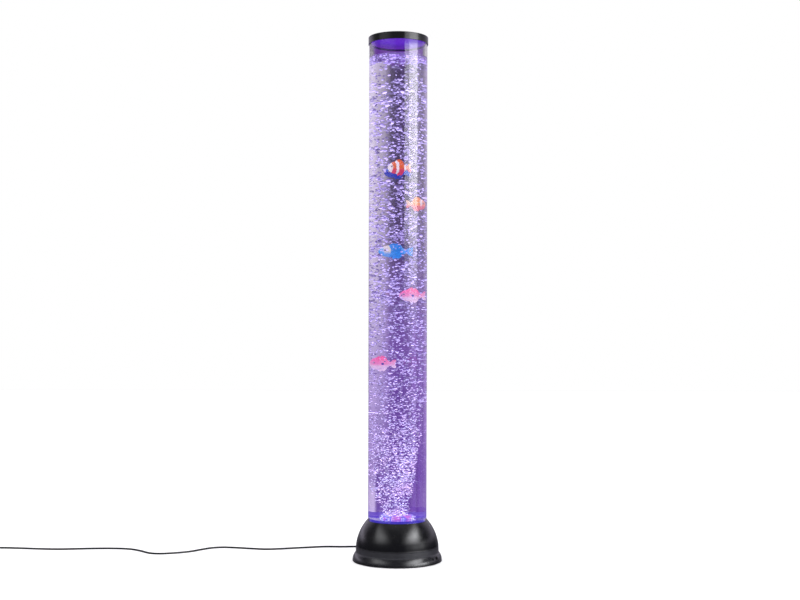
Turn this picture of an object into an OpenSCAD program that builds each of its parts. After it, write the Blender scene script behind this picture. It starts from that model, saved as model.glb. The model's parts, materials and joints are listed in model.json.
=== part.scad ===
// Bubble tube floor lamp: a clear water-filled tube on a round domed base with
// a lift-off cap, drifting model fish, an air pump, coloured lights and a low-voltage cord.
// Millimetres, +Z up. The origin is the centre of the base on the floor, and the front is -Y.

/* [Tube] */
// Outside diameter of the clear tube, a stock size
tube_od = 110; // [106:1:114]
// Wall of the clear tube
tube_wall = 3; // [2.5:0.25:3.5]
// Length of the clear tube
tube_len = 921; // [860:1:980]
// Thickness of the clear disc that closes the tube
floor_disc_t = 6; // [4:0.5:8]
// Height of the disc's underside above the tube's lower end
floor_disc_up = 14; // [13.5:0.5:16]

/* [Cap] */
// How far the cap's skirt reaches down the outside of the tube
cap_skirt_drop = 10.8; // [8:0.2:16]
// Thickness of the cap's top
cap_top_t = 2.6; // [2:0.1:4]
// Wall of the cap's skirt
cap_wall = 1.2; // [1:0.1:2]
// How far the cap's plug ring reaches down inside the tube
cap_plug_drop = 8; // [5:0.5:12]
// Wall of the cap's plug ring
cap_plug_wall = 1.6; // [1.2:0.1:2.5]
// Diameter of each vent hole in the cap
vent_d = 3; // [2:0.5:5]
// Number of vent holes in the cap
vent_count = 6; // [4:1:8]
// Radius of the ring of vent holes
vent_ring_r = 30; // [20:1:38]

/* [Base] */
// Largest diameter of the base, at the flange's foot
base_d = 167.6; // [165:0.2:175]
// Diameter of the dome and of the straight band below it
dome_d = 155.4; // [153:0.2:158]
// Height of the dome's upper lip above the floor
lip_z = 76; // [72:1:82]
// Width of the lip around the tube
lip_w = 1.4; // [1:0.1:3]
// Radius of the dome's curved side
dome_curve_r = 84; // [80:1:100]
// Wall of the dome and of the plinth
shell_wall = 2.6; // [2:0.1:3]
// Height of the parting line above the floor
seam_z = 26; // [25:0.5:28]
// Height of the straight band below the parting line
band_h = 9; // [7:0.5:10]
// Height of the groove along the parting line
groove_h = 1.4; // [0.8:0.1:2]
// Depth of the groove along the parting line
groove_depth = 1; // [0.5:0.1:1.4]
// Depth to which the tube stands in the dome
socket_depth = 16; // [12:1:18]
// Thickness of the ledge that carries the tube
ledge_t = 3; // [2:0.5:4]
// Width of the ledge, inwards from the socket's wall
ledge_w = 11; // [9:0.5:13]
// Gap between the flange's foot and the floor
flange_gap = 1; // [0.5:0.1:1.5]
// Thickness of the bottom plate
plate_t = 2.5; // [2:0.1:3]
// Height of the rubber feet, which is the plate's height above the floor
foot_h = 2; // [1.8:0.1:3]
// Diameter of each rubber foot
foot_d = 14; // [10:1:16]
// Radius at which the feet stand
foot_ring_r = 66; // [60:1:68]

/* [Buttons] */
// Width of the larger, oval push button
power_button_w = 9; // [7:0.5:10]
// Height of the larger, oval push button
power_button_h = 5; // [4:0.5:5.5]
// Diameter of the smaller, round push button
mode_button_d = 4.6; // [4:0.2:5.5]
// Height of both buttons above the floor
button_z = 10.6; // [10.4:0.1:11]
// Angle of the larger button, from the front towards +X
power_button_angle = 63; // [60:1:66]
// Angle of the smaller button, from the front towards +X
mode_button_angle = 53; // [48:1:54]
// How far a button sinks when it is pressed
button_travel = 0.8; // [0.4:0.1:1]

/* [Lights and air] */
// Diameter of the hole in the middle of the light board
led_board_hole_d = 18; // [16:1:20]
// Diameter of each coloured lamp
led_d = 5; // [3:1:6]
// Height of each coloured lamp above the board
led_h = 8.6; // [6:0.2:9]
// Radius of the outer ring of lamps
led_ring_r = 35; // [30:1:38]
// Radius of the inner ring of lamps
led_inner_r = 19; // [17:1:22]
// Diameter of the air diffuser on the tube's floor
diffuser_d = 44; // [36:1:50]
// Height of the air diffuser
diffuser_h = 6; // [5:0.5:8]
// Radius of the ring of air holes in the diffuser
diffuser_ring_r = 17; // [12:1:17.5]
// Diameter of each air hole in the diffuser
diffuser_hole_d = 1.2; // [0.8:0.1:2]
// Outside diameter of the air hose
hose_od = 6.4; // [6:0.2:7]
// Bore of the air hose
hose_id = 4.1; // [3.5:0.1:4.5]

/* [Pump] */
// Length of the air pump's case
pump_l = 56; // [54:1:58]
// Width of the air pump's case
pump_w = 44; // [40:1:46]
// Height of the air pump's case with its lid
pump_h = 32; // [31:1:34]
// Wall of the air pump's case
pump_wall = 2; // [1.6:0.2:2.4]
// Height of the rubber pads below the pump
pump_pad_h = 3.2; // [2:0.2:4]
// Length of the check valve's barrel
valve_l = 18; // [14:1:20]
// Diameter of the check valve's barrel
valve_d = 14; // [10:1:16]

/* [Cord] */
// Diameter of the low-voltage cord
cord_d = 3.5; // [3:0.1:3.6]
// Gap between neighbouring turns of the coiled cord
coil_gap = 0.5; // [0.45:0.05:0.8]
// Radius of the coil's outermost turn, to the middle of the cord
coil_outer_r = 27; // [26.5:0.5:28]
// Thickness of the tie around the coil
tie_t = 0.7; // [0.5:0.1:0.8]
// Length of the wall adaptor
adaptor_l = 70; // [64:1:78]
// Width of the wall adaptor
adaptor_w = 44; // [42:1:50]
// Thickness of the wall adaptor
adaptor_h = 30; // [28:1:34]
// Wall of the adaptor's case
adaptor_wall = 2; // [1.6:0.2:2.4]

/* [Fish] */
// Length of a full-grown model fish, nose to tail
fish_l = 41; // [38:0.5:41]
// Height of a full-grown model fish over its fins
fish_h = 32; // [28:1:34]
// Thickness of a full-grown model fish
fish_t = 11; // [8:0.5:11.5]

/* [Hidden] */
$fn = 72;

// Clearances that many pieces share
slip = 0.3; // between pieces that slide or lift off
glue = 0.05; // a glue film, or a hose or screw in its seat
over = 1; // how far a cutter passes through

tube_r = tube_od / 2;
tube_ir = tube_r - tube_wall;
gasket_t = 1.5;
tube_z0 = lip_z - socket_depth;
tube_z1 = tube_z0 + tube_len;
ledge_z1 = tube_z0 - gasket_t;
ledge_z0 = ledge_z1 - ledge_t;
disc_z0 = tube_z0 + floor_disc_up;
disc_z1 = disc_z0 + floor_disc_t;
socket_r = tube_r + slip;
ledge_r = socket_r - ledge_w;

dome_r = dome_d / 2;
base_r = base_d / 2;
lip_r = socket_r + lip_w;
band_z0 = seam_z - band_h;
plate_z1 = foot_h + plate_t;
shelf_z0 = plate_z1 + 0.1;
shelf_t = 2.2;
shelf_z1 = shelf_z0 + shelf_t;
shelf_r = dome_r - shell_wall - 4;
plate_r = base_r - shell_wall - 0.8;
tongue_t = 1.8;
tongue_h = 3.2;
boss_ring_r = dome_r - 13.7;
boss_d = 9;
screw_d = 3;
screw_head_d = 5.6;
screw_l = 18;
screw_angles = [30, 150, 270];

// The point at the middle of the circle of radius r through p and q, on the axis side
function arc_centre(p, q, r) =
    let (half = norm(q - p) / 2, along = (q - p) / norm(q - p))
    (p + q) / 2 + [along[1], -along[0]] * sqrt(r * r - half * half);

// Points along the arc from p to q about centre c, in n steps
function arc_points(p, q, c, n) =
    let (
        a = atan2(p[1] - c[1], p[0] - c[0]),
        b = atan2(q[1] - c[1], q[0] - c[0]),
        r = norm(p - c)
    )
    [for (i = [0:n]) c + r * [cos(a + (b - a) * i / n), sin(a + (b - a) * i / n)]];

// The dome's outer arc runs from the lip to the parting line
dome_centre = arc_centre([lip_r, lip_z], [dome_r, seam_z], dome_curve_r);
dome_steps = 16;

// Radius of a circle about the dome's arc centre at height z, drawn in by inset
function dome_r_at(z, inset) =
    dome_centre[0] + sqrt(pow(dome_curve_r - inset, 2) - pow(z - dome_centre[1], 2));

// Height at which the dome's arc, drawn in by inset, has radius r
function dome_z_at(r, inset) =
    dome_centre[1] + sqrt(pow(dome_curve_r - inset, 2) - pow(r - dome_centre[0], 2));

// The flange's outer curve from the band down to its foot, drawn in by inset
flange_h = band_z0 - flange_gap;
flange_steps = 8;
function flange_points(inset) = [
    for (i = [0:flange_steps])
        let (u = i / flange_steps)
        [
            dome_r - inset + (base_r - dome_r) * pow(sin(90 * u), 0.9),
            band_z0 - flange_h * pow(u, 1.15)
        ]
];
// Outer radius of the flange at height z, within its curve
function flange_r_at(z) =
    dome_r + (base_r - dome_r) * pow(sin(90 * pow((band_z0 - z) / flange_h, 1 / 1.15)), 0.9);

module ring(r_out, r_in, z0, z1) {
    translate([0, 0, z0])
        difference() {
            cylinder(r = r_out, h = z1 - z0);
            translate([0, 0, -over]) cylinder(r = r_in, h = z1 - z0 + 2 * over);
        }
}

module rod_x(r, x0, x1, z) {
    translate([x0, 0, z]) rotate([0, 90, 0]) cylinder(r = r, h = x1 - x0);
}

module rounded_plate(l, w, h, r) {
    linear_extrude(h) {
        translate([r, 0]) square([l - 2 * r, w]);
        translate([0, r]) square([l, w - 2 * r]);
        for (x = [r, l - r], y = [r, w - r])
            translate([x, y]) circle(r = r);
    }
}

// ---------- Tube ----------

module water_tube() {
    color("lavender", 0.4) ring(tube_r, tube_ir, tube_z0, tube_z1);
}

module tube_gasket() {
    color("dimgray") ring(tube_r, tube_ir - 0.5, ledge_z1, tube_z0);
}

nozzle_shank_d = 8;
nozzle_bore_d = 2.4;
nozzle_flange_d = 14;
nozzle_flange_t = 2;
nozzle_barb_l = 11;
nut_t = 3.4;
nut_af = 13;
nozzle_shank_z0 = disc_z0 - nut_t - 3;
barb_r = hose_id / 2 - glue;

module floor_disc() {
    color("aliceblue", 0.5)
        ring(tube_ir - glue, nozzle_shank_d / 2 + glue, disc_z0, disc_z1);
}

module air_nozzle() {
    color("whitesmoke")
        difference() {
            union() {
                translate([0, 0, disc_z1]) cylinder(d = nozzle_flange_d, h = nozzle_flange_t);
                translate([0, 0, nozzle_shank_z0])
                    cylinder(d = nozzle_shank_d, h = disc_z1 - nozzle_shank_z0);
                translate([0, 0, nozzle_shank_z0 - nozzle_barb_l])
                    cylinder(r = barb_r, h = nozzle_barb_l);
            }
            translate([0, 0, nozzle_shank_z0 - nozzle_barb_l - over])
                cylinder(
                    d = nozzle_bore_d,
                    h = disc_z1 - nozzle_shank_z0 + nozzle_barb_l + nozzle_flange_t + 2 * over
                );
        }
}

module nozzle_nut() {
    color("white")
        difference() {
            translate([0, 0, disc_z0 - nut_t]) cylinder(d = nut_af / cos(30), h = nut_t, $fn = 6);
            translate([0, 0, disc_z0 - nut_t - over])
                cylinder(r = nozzle_shank_d / 2 + glue, h = nut_t + 2 * over);
        }
}

diffuser_wall = 1.5;
diffuser_holes = 12;

module air_diffuser() {
    color("azure", 0.6)
        difference() {
            translate([0, 0, disc_z1]) cylinder(d = diffuser_d, h = diffuser_h);
            translate([0, 0, disc_z1 - over])
                cylinder(
                    d = diffuser_d - 2 * diffuser_wall,
                    h = diffuser_h - diffuser_wall + over
                );
            for (i = [0:diffuser_holes - 1])
                rotate([0, 0, 360 * i / diffuser_holes])
                    translate([diffuser_ring_r, 0, disc_z1 + over])
                        cylinder(d = diffuser_hole_d, h = diffuser_h);
        }
}

// ---------- Cap ----------

cap_z0 = tube_z1 + 0.2;
cap_z1 = cap_z0 + cap_top_t;
cap_r = tube_r + slip + cap_wall;
cap_round = 0.6;
cap_plug_r = tube_ir - slip;

module top_cap() {
    color("#0b0b0d")
        difference() {
            rotate_extrude()
                polygon([
                    [0, cap_z0],
                    [cap_plug_r - cap_plug_wall, cap_z0],
                    [cap_plug_r - cap_plug_wall, cap_z0 - cap_plug_drop],
                    [cap_plug_r, cap_z0 - cap_plug_drop],
                    [cap_plug_r, cap_z0],
                    [tube_r + slip, cap_z0],
                    [tube_r + slip, cap_z0 - cap_skirt_drop],
                    [cap_r, cap_z0 - cap_skirt_drop],
                    [cap_r, cap_z1 - cap_round],
                    [cap_r - cap_round, cap_z1],
                    [0, cap_z1]
                ]);
            for (i = [0:vent_count - 1])
                rotate([0, 0, 360 * (i + 0.5) / vent_count])
                    translate([vent_ring_r, 0, cap_z0 - over])
                        cylinder(d = vent_d, h = cap_top_t + 2 * over);
        }
}

// ---------- Base shells ----------

groove_r = dome_r - groove_depth;
dome_edge_z = seam_z + groove_h;
collar_r = socket_r + 2;
lip_round = 0.8;

module base_dome() {
    inner_foot = [dome_r_at(dome_edge_z, shell_wall), dome_edge_z];
    collar_top = [collar_r, dome_z_at(collar_r, shell_wall)];
    color("#0c0c0e")
        difference() {
            union() {
                rotate_extrude()
                    polygon(concat(
                        [[socket_r, lip_z - lip_round], [socket_r + lip_round / 2, lip_z]],
                        arc_points(
                            [lip_r, lip_z], [dome_r_at(dome_edge_z, 0), dome_edge_z],
                            dome_centre, dome_steps
                        ),
                        [[groove_r, dome_edge_z], [groove_r, seam_z]],
                        [[dome_r_at(seam_z, shell_wall), seam_z]],
                        arc_points(inner_foot, collar_top, dome_centre, dome_steps),
                        [
                            [collar_r, ledge_z0], [ledge_r, ledge_z0],
                            [ledge_r, ledge_z1], [socket_r, ledge_z1]
                        ]
                    ));
                intersection() {
                    rotate_extrude()
                        polygon(concat(
                            [[0, plate_z1], [0, dome_z_at(collar_r, 1)]],
                            arc_points(
                                [collar_r, dome_z_at(collar_r, 1)],
                                [dome_r_at(seam_z, 1), seam_z], dome_centre, dome_steps
                            ),
                            [[dome_r_at(seam_z, 1), plate_z1]]
                        ));
                    difference() {
                        for (a = screw_angles)
                            rotate([0, 0, a])
                                translate([boss_ring_r, 0, plate_z1])
                                    cylinder(d = boss_d, h = lip_z);
                        translate([0, 0, ledge_z0]) cylinder(r = collar_r - over, h = lip_z);
                    }
                }
            }
            for (a = screw_angles)
                rotate([0, 0, a])
                    translate([boss_ring_r, 0, plate_z1 - over])
                        cylinder(r = screw_d / 2 + glue, h = screw_l + over);
            for (a = led_screw_angles)
                rotate([0, 0, a])
                    translate([led_screw_ring_r, 0, ledge_z0 - over])
                        cylinder(r = led_screw_d / 2 + glue, h = ledge_t + 2 * over);
        }
}

jack_z = 12.6;
jack_d = 8.4;
jack_face_y = flange_r_at(jack_z) - 0.6;

module oval(w, h, grow) {
    d = h + 2 * grow;
    square([w - h, d], center = true);
    for (s = [-1, 1])
        translate([s * (w - h) / 2, 0]) circle(d = d);
}

// Children are drawn looking out of the flange, with their Z axis along the button's travel
module at_button(angle, r) {
    rotate([0, 0, angle - 90])
        translate([r, 0, button_z])
            rotate([90, 0, 90])
                children();
}

module base_plinth() {
    inner = flange_points(shell_wall);
    tongue_r = dome_r_at(seam_z + tongue_h, shell_wall) - slip;
    rim_r = plate_r + slip;
    color("#0d0d0f")
        difference() {
            rotate_extrude()
                polygon(concat(
                    [
                        [groove_r, seam_z],
                        [dome_r, seam_z - 0.4]
                    ],
                    flange_points(0),
                    [
                        [rim_r, flange_gap], [rim_r, shelf_z0], [shelf_r, shelf_z0],
                        [shelf_r, shelf_z1], [flange_r_at(shelf_z1) - shell_wall, shelf_z1]
                    ],
                    [for (i = [flange_steps:-1:0]) if (inner[i][1] > shelf_z1) inner[i]],
                    [
                        [dome_r - shell_wall, seam_z - 4],
                        [tongue_r - tongue_t, seam_z - 2],
                        [tongue_r - tongue_t, seam_z + tongue_h],
                        [tongue_r, seam_z + tongue_h],
                        [tongue_r, seam_z]
                    ]
                ));
            at_button(power_button_angle, shelf_r)
                linear_extrude(base_r) oval(power_button_w, power_button_h, slip);
            at_button(mode_button_angle, shelf_r)
                cylinder(r = mode_button_d / 2 + slip, h = base_r);
            translate([0, shelf_r, jack_z]) rotate([-90, 0, 0])
                cylinder(r = jack_d / 2 + glue, h = base_r);
        }
}

module bottom_plate() {
    color("#151517")
        difference() {
            union() {
                translate([0, 0, foot_h]) cylinder(r = plate_r, h = plate_t);
                for (s = [-1, 1])
                    rotate([0, 0, switch_angle - 90])
                        translate([
                            switch_r - post_wall,
                            s * (switch_board_w / 2 + glue + post_w / 2) - post_w / 2,
                            plate_z1
                        ])
                            slotted_post(s);
                for (x = board_post_x, y = board_post_y)
                    translate([x, y, plate_z1]) cylinder(d = 5, h = board_post_h);
            }
            for (a = screw_angles)
                rotate([0, 0, a]) {
                    translate([boss_ring_r, 0, 0])
                        cylinder(r = screw_d / 2 + glue, h = plate_z1 + over);
                    translate([boss_ring_r, 0, foot_h - over])
                        cylinder(r = screw_head_d / 2 + glue, h = screw_head_t + over);
                }
            for (x = board_post_x, y = board_post_y)
                translate([x, y, plate_z1])
                    cylinder(r = board_screw_d / 2 + glue, h = board_post_h + over);
        }
}

post_w = 3;
post_wall = 1.5;
post_h = 9;
post_slot = 0.8;

// A post with a groove on one side that holds an edge of the switch board
module slotted_post(side) {
    difference() {
        cube([switch_board_t + 2 * post_wall, post_w, post_h]);
        translate([post_wall - glue, side > 0 ? -post_slot : post_w - post_slot, -over])
            cube([switch_board_t + 2 * glue, 2 * post_slot, post_h + 2 * over]);
    }
}

screw_head_t = 1.8;
screw_head_sink = 0.1;
screw_end_gap = 2;

// Each screw passes up through the plate into a boss of the dome
module base_screws() {
    color("silver")
        for (a = screw_angles)
            rotate([0, 0, a])
                translate([boss_ring_r, 0, foot_h]) {
                    translate([0, 0, screw_head_sink])
                        cylinder(d = screw_head_d, h = screw_head_t - screw_head_sink);
                    translate([0, 0, screw_head_t])
                        cylinder(d = screw_d, h = plate_t + screw_l - screw_head_t - screw_end_gap);
                }
}

foot_edge = 0.5;

module rubber_feet() {
    color("#222222")
        for (a = [45:90:315])
            rotate([0, 0, a])
                translate([foot_ring_r, 0, 0])
                    rotate_extrude()
                        polygon([
                            [0, 0], [foot_d / 2 - foot_edge, 0], [foot_d / 2, foot_edge],
                            [foot_d / 2, foot_h], [0, foot_h]
                        ]);
}

// ---------- Lights ----------

led_board_t = 1.6;
led_spacer_h = 3;
led_board_z0 = ledge_z1 + led_spacer_h;
led_board_z1 = led_board_z0 + led_board_t;
led_board_r = tube_ir - 1.2;
led_screw_d = 2.5;
led_screw_ring_r = led_board_r - 3.2;
led_screw_angles = [30, 150, 270];

module led_board() {
    color("white")
        difference() {
            ring(led_board_r, led_board_hole_d / 2, led_board_z0, led_board_z1);
            for (a = led_screw_angles)
                rotate([0, 0, a])
                    translate([led_screw_ring_r, 0, led_board_z0 - over])
                        cylinder(r = led_screw_d / 2 + glue, h = led_board_t + 2 * over);
        }
}

module led(angle, r) {
    rotate([0, 0, angle])
        translate([r, 0, led_board_z1])
            rotate_extrude()
                polygon(concat(
                    [[0, 0], [led_d / 2 + 0.4, 0], [led_d / 2 + 0.4, 1], [led_d / 2, 1]],
                    [for (a = [0:15:90]) [led_d / 2 * cos(a), led_h - led_d / 2 * (1 - sin(a))]]
                ));
}

// Every third lamp has one colour: four in the outer ring and one in the inner ring
module led_colour(first) {
    for (i = [0:3])
        led(30 * (3 * i + first), led_ring_r);
    led(120 * first + 45, led_inner_r);
}

module red_leds() {
    color("red") led_colour(0);
}

module green_leds() {
    color("lime") led_colour(1);
}

module blue_leds() {
    color("blue") led_colour(2);
}

module led_spacers() {
    color("whitesmoke")
        for (a = led_screw_angles)
            rotate([0, 0, a])
                translate([led_screw_ring_r, 0, 0])
                    ring(2.5, led_screw_d / 2 + glue, ledge_z1, led_board_z0);
}

module led_screws() {
    color("silver")
        for (a = led_screw_angles)
            rotate([0, 0, a])
                translate([led_screw_ring_r, 0, led_board_z1]) {
                    cylinder(d = 4.6, h = 1.6);
                    translate([0, 0, -led_board_t - led_spacer_h - ledge_t])
                        cylinder(d = led_screw_d, h = led_board_t + led_spacer_h + ledge_t);
                }
}

// ---------- Air pump ----------

pump_x1 = -8;
pump_x0 = pump_x1 - pump_l;
pump_z0 = plate_z1 + pump_pad_h;
pump_z1 = pump_z0 + pump_h;
pump_lid_t = 5;
pump_split_z = pump_z1 - pump_lid_t;
pump_floor_z = pump_z0 + pump_wall;
outlet_z = pump_z0 + 5.4;
outlet_l = 9;
pump_corner = 5;

block_l = 15;
block_w = 20;
block_h = 9;
block_x1 = pump_x1 - pump_wall - 0.5;
block_x0 = block_x1 - block_l;
block_z1 = pump_floor_z + block_h;
diaphragm_x = (block_x0 + block_x1) / 2;
diaphragm_h = 5;
arm_z0 = block_z1 + diaphragm_h + 0.2;
arm_t = 2.4;
arm_w = 8;
pivot_d = 2;
pivot_x = pump_x0 + pump_wall + 5;
pivot_z = arm_z0 + arm_t / 2;
ear_t = 2;
core_l = 20;
core_w = 16;
core_x0 = (pivot_x + block_x0) / 2 - core_l / 2;
magnet_t = 4;
core_z1 = arm_z0 - magnet_t - 1.5;

module pump_pads() {
    color("#2b2b2b")
        for (x = [pump_x0 + 9, pump_x1 - 9], y = [-1, 1])
            translate([x, y * (pump_w / 2 - 9), plate_z1]) cylinder(d = 9, h = pump_pad_h);
}

module pump_case() {
    color("#3a3d42")
        difference() {
            union() {
                difference() {
                    translate([pump_x0, -pump_w / 2, pump_z0])
                        rounded_plate(pump_l, pump_w, pump_split_z - pump_z0, pump_corner);
                    translate([pump_x0 + pump_wall, -pump_w / 2 + pump_wall, pump_floor_z])
                        rounded_plate(
                            pump_l - 2 * pump_wall, pump_w - 2 * pump_wall,
                            pump_h, pump_corner - pump_wall
                        );
                }
                for (s = [-1, 1])
                    translate([pivot_x - 2.5, s * (arm_w / 2 + 0.6 + ear_t / 2) - ear_t / 2, pump_floor_z])
                        cube([5, ear_t, pivot_z + 2.5 - pump_floor_z]);
            }
            translate([pivot_x, -pump_w, pivot_z]) rotate([-90, 0, 0])
                cylinder(r = pivot_d / 2 + 0.01, h = pump_w + arm_w / 2 + 0.6 + ear_t);
            rod_x(barb_r + 0.3, pump_x1 - pump_wall - over, pump_x1 + over, outlet_z);
        }
}

module pump_lid() {
    color("#33363b")
        translate([pump_x0, -pump_w / 2, pump_split_z])
            difference() {
                rounded_plate(pump_l, pump_w, pump_lid_t, pump_corner);
                translate([pump_wall, pump_wall, -over])
                    rounded_plate(
                        pump_l - 2 * pump_wall, pump_w - 2 * pump_wall,
                        pump_lid_t - pump_wall + over, pump_corner - pump_wall
                    );
            }
}

coil_core_gap = 0.2;

// A laminated core with three upright legs, whose middle leg carries the coil
module pump_core() {
    leg = core_l / 5;
    color("slategray")
        translate([core_x0, -core_w / 2, pump_floor_z])
            difference() {
                cube([core_l, core_w, core_z1 - pump_floor_z]);
                for (x = [leg, 3 * leg])
                    translate([x, -over, 3])
                        cube([leg, core_w + 2 * over, core_z1]);
            }
}

module pump_coil() {
    leg = core_l / 5;
    gap = coil_core_gap;
    color("peru")
        translate([core_x0 + leg, -core_w / 2, pump_floor_z + 3 + gap])
            difference() {
                translate([gap, -leg + gap, 0])
                    cube([3 * leg - 2 * gap, core_w + 2 * leg - 2 * gap, core_z1 - pump_floor_z - 4]);
                translate([leg - gap, -gap, -over])
                    cube([leg + 2 * gap, core_w + 2 * gap, core_z1]);
            }
}

module pump_valve_block() {
    color("ivory")
        difference() {
            union() {
                translate([block_x0, -block_w / 2, pump_floor_z]) cube([block_l, block_w, block_h]);
                rod_x(barb_r, block_x1 - over, pump_x1 + outlet_l, outlet_z);
            }
            rod_x(nozzle_bore_d / 2, diaphragm_x, pump_x1 + outlet_l + over, outlet_z);
            translate([diaphragm_x, 0, outlet_z]) cylinder(d = nozzle_bore_d, h = block_h);
        }
}

module pump_diaphragm() {
    r = block_l / 2 - 0.6;
    color("#404040")
        translate([diaphragm_x, 0, block_z1])
            rotate_extrude()
                polygon([
                    [nozzle_bore_d / 2 + 0.2, 0], [r, 0], [r, 1], [r - 1.4, 1.6], [r - 0.6, 2.5],
                    [r - 2, 3.4], [r - 2.6, diaphragm_h], [0, diaphragm_h], [0, diaphragm_h - 1.2],
                    [nozzle_bore_d / 2 + 0.2, diaphragm_h - 1.2]
                ]);
}

module pump_pivot_pin() {
    l = arm_w + 1.2 + 2 * ear_t;
    color("silver")
        translate([pivot_x, -l / 2, pivot_z]) rotate([-90, 0, 0])
            cylinder(d = pivot_d, h = l);
}

module pump_arm() {
    color("lightsteelblue")
        difference() {
            union() {
                translate([pivot_x, -arm_w / 2, arm_z0])
                    cube([diaphragm_x + 4 - pivot_x, arm_w, arm_t]);
                translate([pivot_x, -arm_w / 2, pivot_z]) rotate([-90, 0, 0])
                    cylinder(d = 5, h = arm_w);
            }
            translate([pivot_x, -arm_w, pivot_z]) rotate([-90, 0, 0])
                cylinder(r = pivot_d / 2 + glue, h = 2 * arm_w);
        }
}

module pump_magnet() {
    color("dimgray")
        translate([core_x0 + core_l / 2 - 6, -arm_w / 2, arm_z0 - magnet_t])
            cube([12, arm_w, magnet_t]);
}

// ---------- Air line ----------

hose_r = hose_od / 2;
hose_bend_r = 14;
hose_return_r = 10;
hose_top_z = nozzle_shank_z0 - 0.3;
valve_barb_l = 8;
valve_z = outlet_z + 2 * hose_return_r;
valve_x0 = hose_bend_r + 12;
valve_x1 = valve_x0 + valve_l;
hose_turn_x = valve_x1 + valve_barb_l;

// One run of hose in the XZ plane, drawn solid with radius r
module hose_upper_run(r, end) {
    corner_z = valve_z + hose_bend_r;
    translate([0, 0, corner_z]) cylinder(r = r, h = hose_top_z + end - corner_z);
    translate([hose_bend_r, 0, corner_z]) rotate([90, 0, 0])
        rotate_extrude(angle = 90, start = 180) translate([hose_bend_r, 0]) circle(r = r);
    rod_x(r, hose_bend_r, valve_x0 - 0.3 + end, valve_z);
}

module hose_lower_run(r, end) {
    rod_x(r, valve_x1 + 0.3 - end, hose_turn_x, valve_z);
    translate([hose_turn_x, 0, valve_z - hose_return_r]) rotate([90, 0, 0])
        rotate_extrude(angle = 180, start = 270) translate([hose_return_r, 0]) circle(r = r);
    rod_x(r, pump_x1 + 0.3 - end, hose_turn_x, outlet_z);
}

module hose_upper() {
    color("gainsboro", 0.8)
        difference() {
            hose_upper_run(hose_r, 0);
            hose_upper_run(hose_id / 2, over);
        }
}

module hose_lower() {
    color("gainsboro", 0.8)
        difference() {
            hose_lower_run(hose_r, 0);
            hose_lower_run(hose_id / 2, over);
        }
}

module check_valve() {
    color("white")
        difference() {
            union() {
                rod_x(valve_d / 2, valve_x0, valve_x1, valve_z);
                rod_x(valve_d / 2 + 1, valve_x0 + valve_l / 2 - 1, valve_x0 + valve_l / 2 + 1, valve_z);
                rod_x(barb_r, valve_x0 - valve_barb_l, valve_x1 + valve_barb_l, valve_z);
            }
            rod_x(nozzle_bore_d / 2, valve_x0 - valve_barb_l - over, valve_x0 + 4, valve_z);
            rod_x(nozzle_bore_d / 2, valve_x1 - 4, valve_x1 + valve_barb_l + over, valve_z);
        }
}

// ---------- Electronics ----------

board_l = 72;
board_w = 24;
board_t = 1.6;
board_post_h = 4;
board_y0 = -pump_w / 2 - 8 - board_w;
board_z0 = plate_z1 + board_post_h;
board_z1 = board_z0 + board_t;
board_post_x = [-board_l / 2 + 4, board_l / 2 - 4];
board_post_y = [board_y0 + 4, board_y0 + board_w - 4];
board_screw_d = 2.2;

module control_board() {
    color("darkgreen")
        difference() {
            translate([-board_l / 2, board_y0, board_z0]) cube([board_l, board_w, board_t]);
            for (x = board_post_x, y = board_post_y)
                translate([x, y, board_z0 - over])
                    cylinder(r = board_screw_d / 2 + glue, h = board_t + 2 * over);
        }
}

// Two capacitors, a controller chip, a crystal, a choke and two lead sockets
module board_parts() {
    y = board_y0 + board_w / 2;
    color("#20242c")
        translate([0, y, board_z1]) {
            translate([-26, 3, 0]) cylinder(d = 8, h = 12);
            translate([-17, 3, 0]) cylinder(d = 6.3, h = 9);
            translate([-10, -3.5, 0]) cube([13, 7, 1.8]);
            translate([6, -2, 0]) cube([9, 4, 3.5]);
            translate([19, 2, 0]) cylinder(d = 9, h = 6);
            translate([-24, -10.5, 0]) cube([10, 5, 7]);
            translate([12, -10.5, 0]) cube([10, 5, 7]);
        }
}

module board_screws() {
    color("silver")
        for (x = board_post_x, y = board_post_y)
            translate([x, y, board_z1]) {
                cylinder(d = 4, h = 1.4);
                translate([0, 0, -board_t - 3]) cylinder(d = board_screw_d, h = board_t + 3);
            }
}

switch_angle = (power_button_angle + mode_button_angle) / 2;
switch_board_w = 26;
switch_board_t = 1.6;
switch_board_h = 15;
switch_h = 3.4;
switch_r = shelf_r - switch_board_t - switch_h - 3;
button_rear_r = shelf_r - 1.2;
plunger_gap = 0.6;

module switch_board() {
    color("darkgreen")
        rotate([0, 0, switch_angle - 90])
            translate([switch_r, -switch_board_w / 2, plate_z1])
                cube([switch_board_t, switch_board_w, switch_board_h]);
}

// Each switch stands on the board behind its button
module tact_switches() {
    face = switch_r + switch_board_t;
    color("#303030")
        for (a = [power_button_angle, mode_button_angle])
            rotate([0, 0, switch_angle - 90])
                translate([face, face * tan(a - switch_angle), button_z]) {
                    translate([0, -3, -3]) cube([switch_h, 6, 6]);
                    rotate([0, 90, 0])
                        cylinder(d = 3, h = button_rear_r - button_travel - plunger_gap - face);
                }
}

retainer_t = 1.2;
retainer_rim = 0.9;
retainer_slack = 0.2;
face_sink = 0.3;

// Where a button of height h ends: its face, and its retainer just behind the flange's wall
function button_face_r(h) =
    min([for (s = [-1, 1]) flange_r_at(button_z + s * h / 2)]) - face_sink;
function retainer_r(h) =
    min([for (s = [-1, 1]) flange_r_at(button_z + s * (h / 2 + retainer_rim))])
    - shell_wall - slip - retainer_slack - retainer_t;

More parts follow.
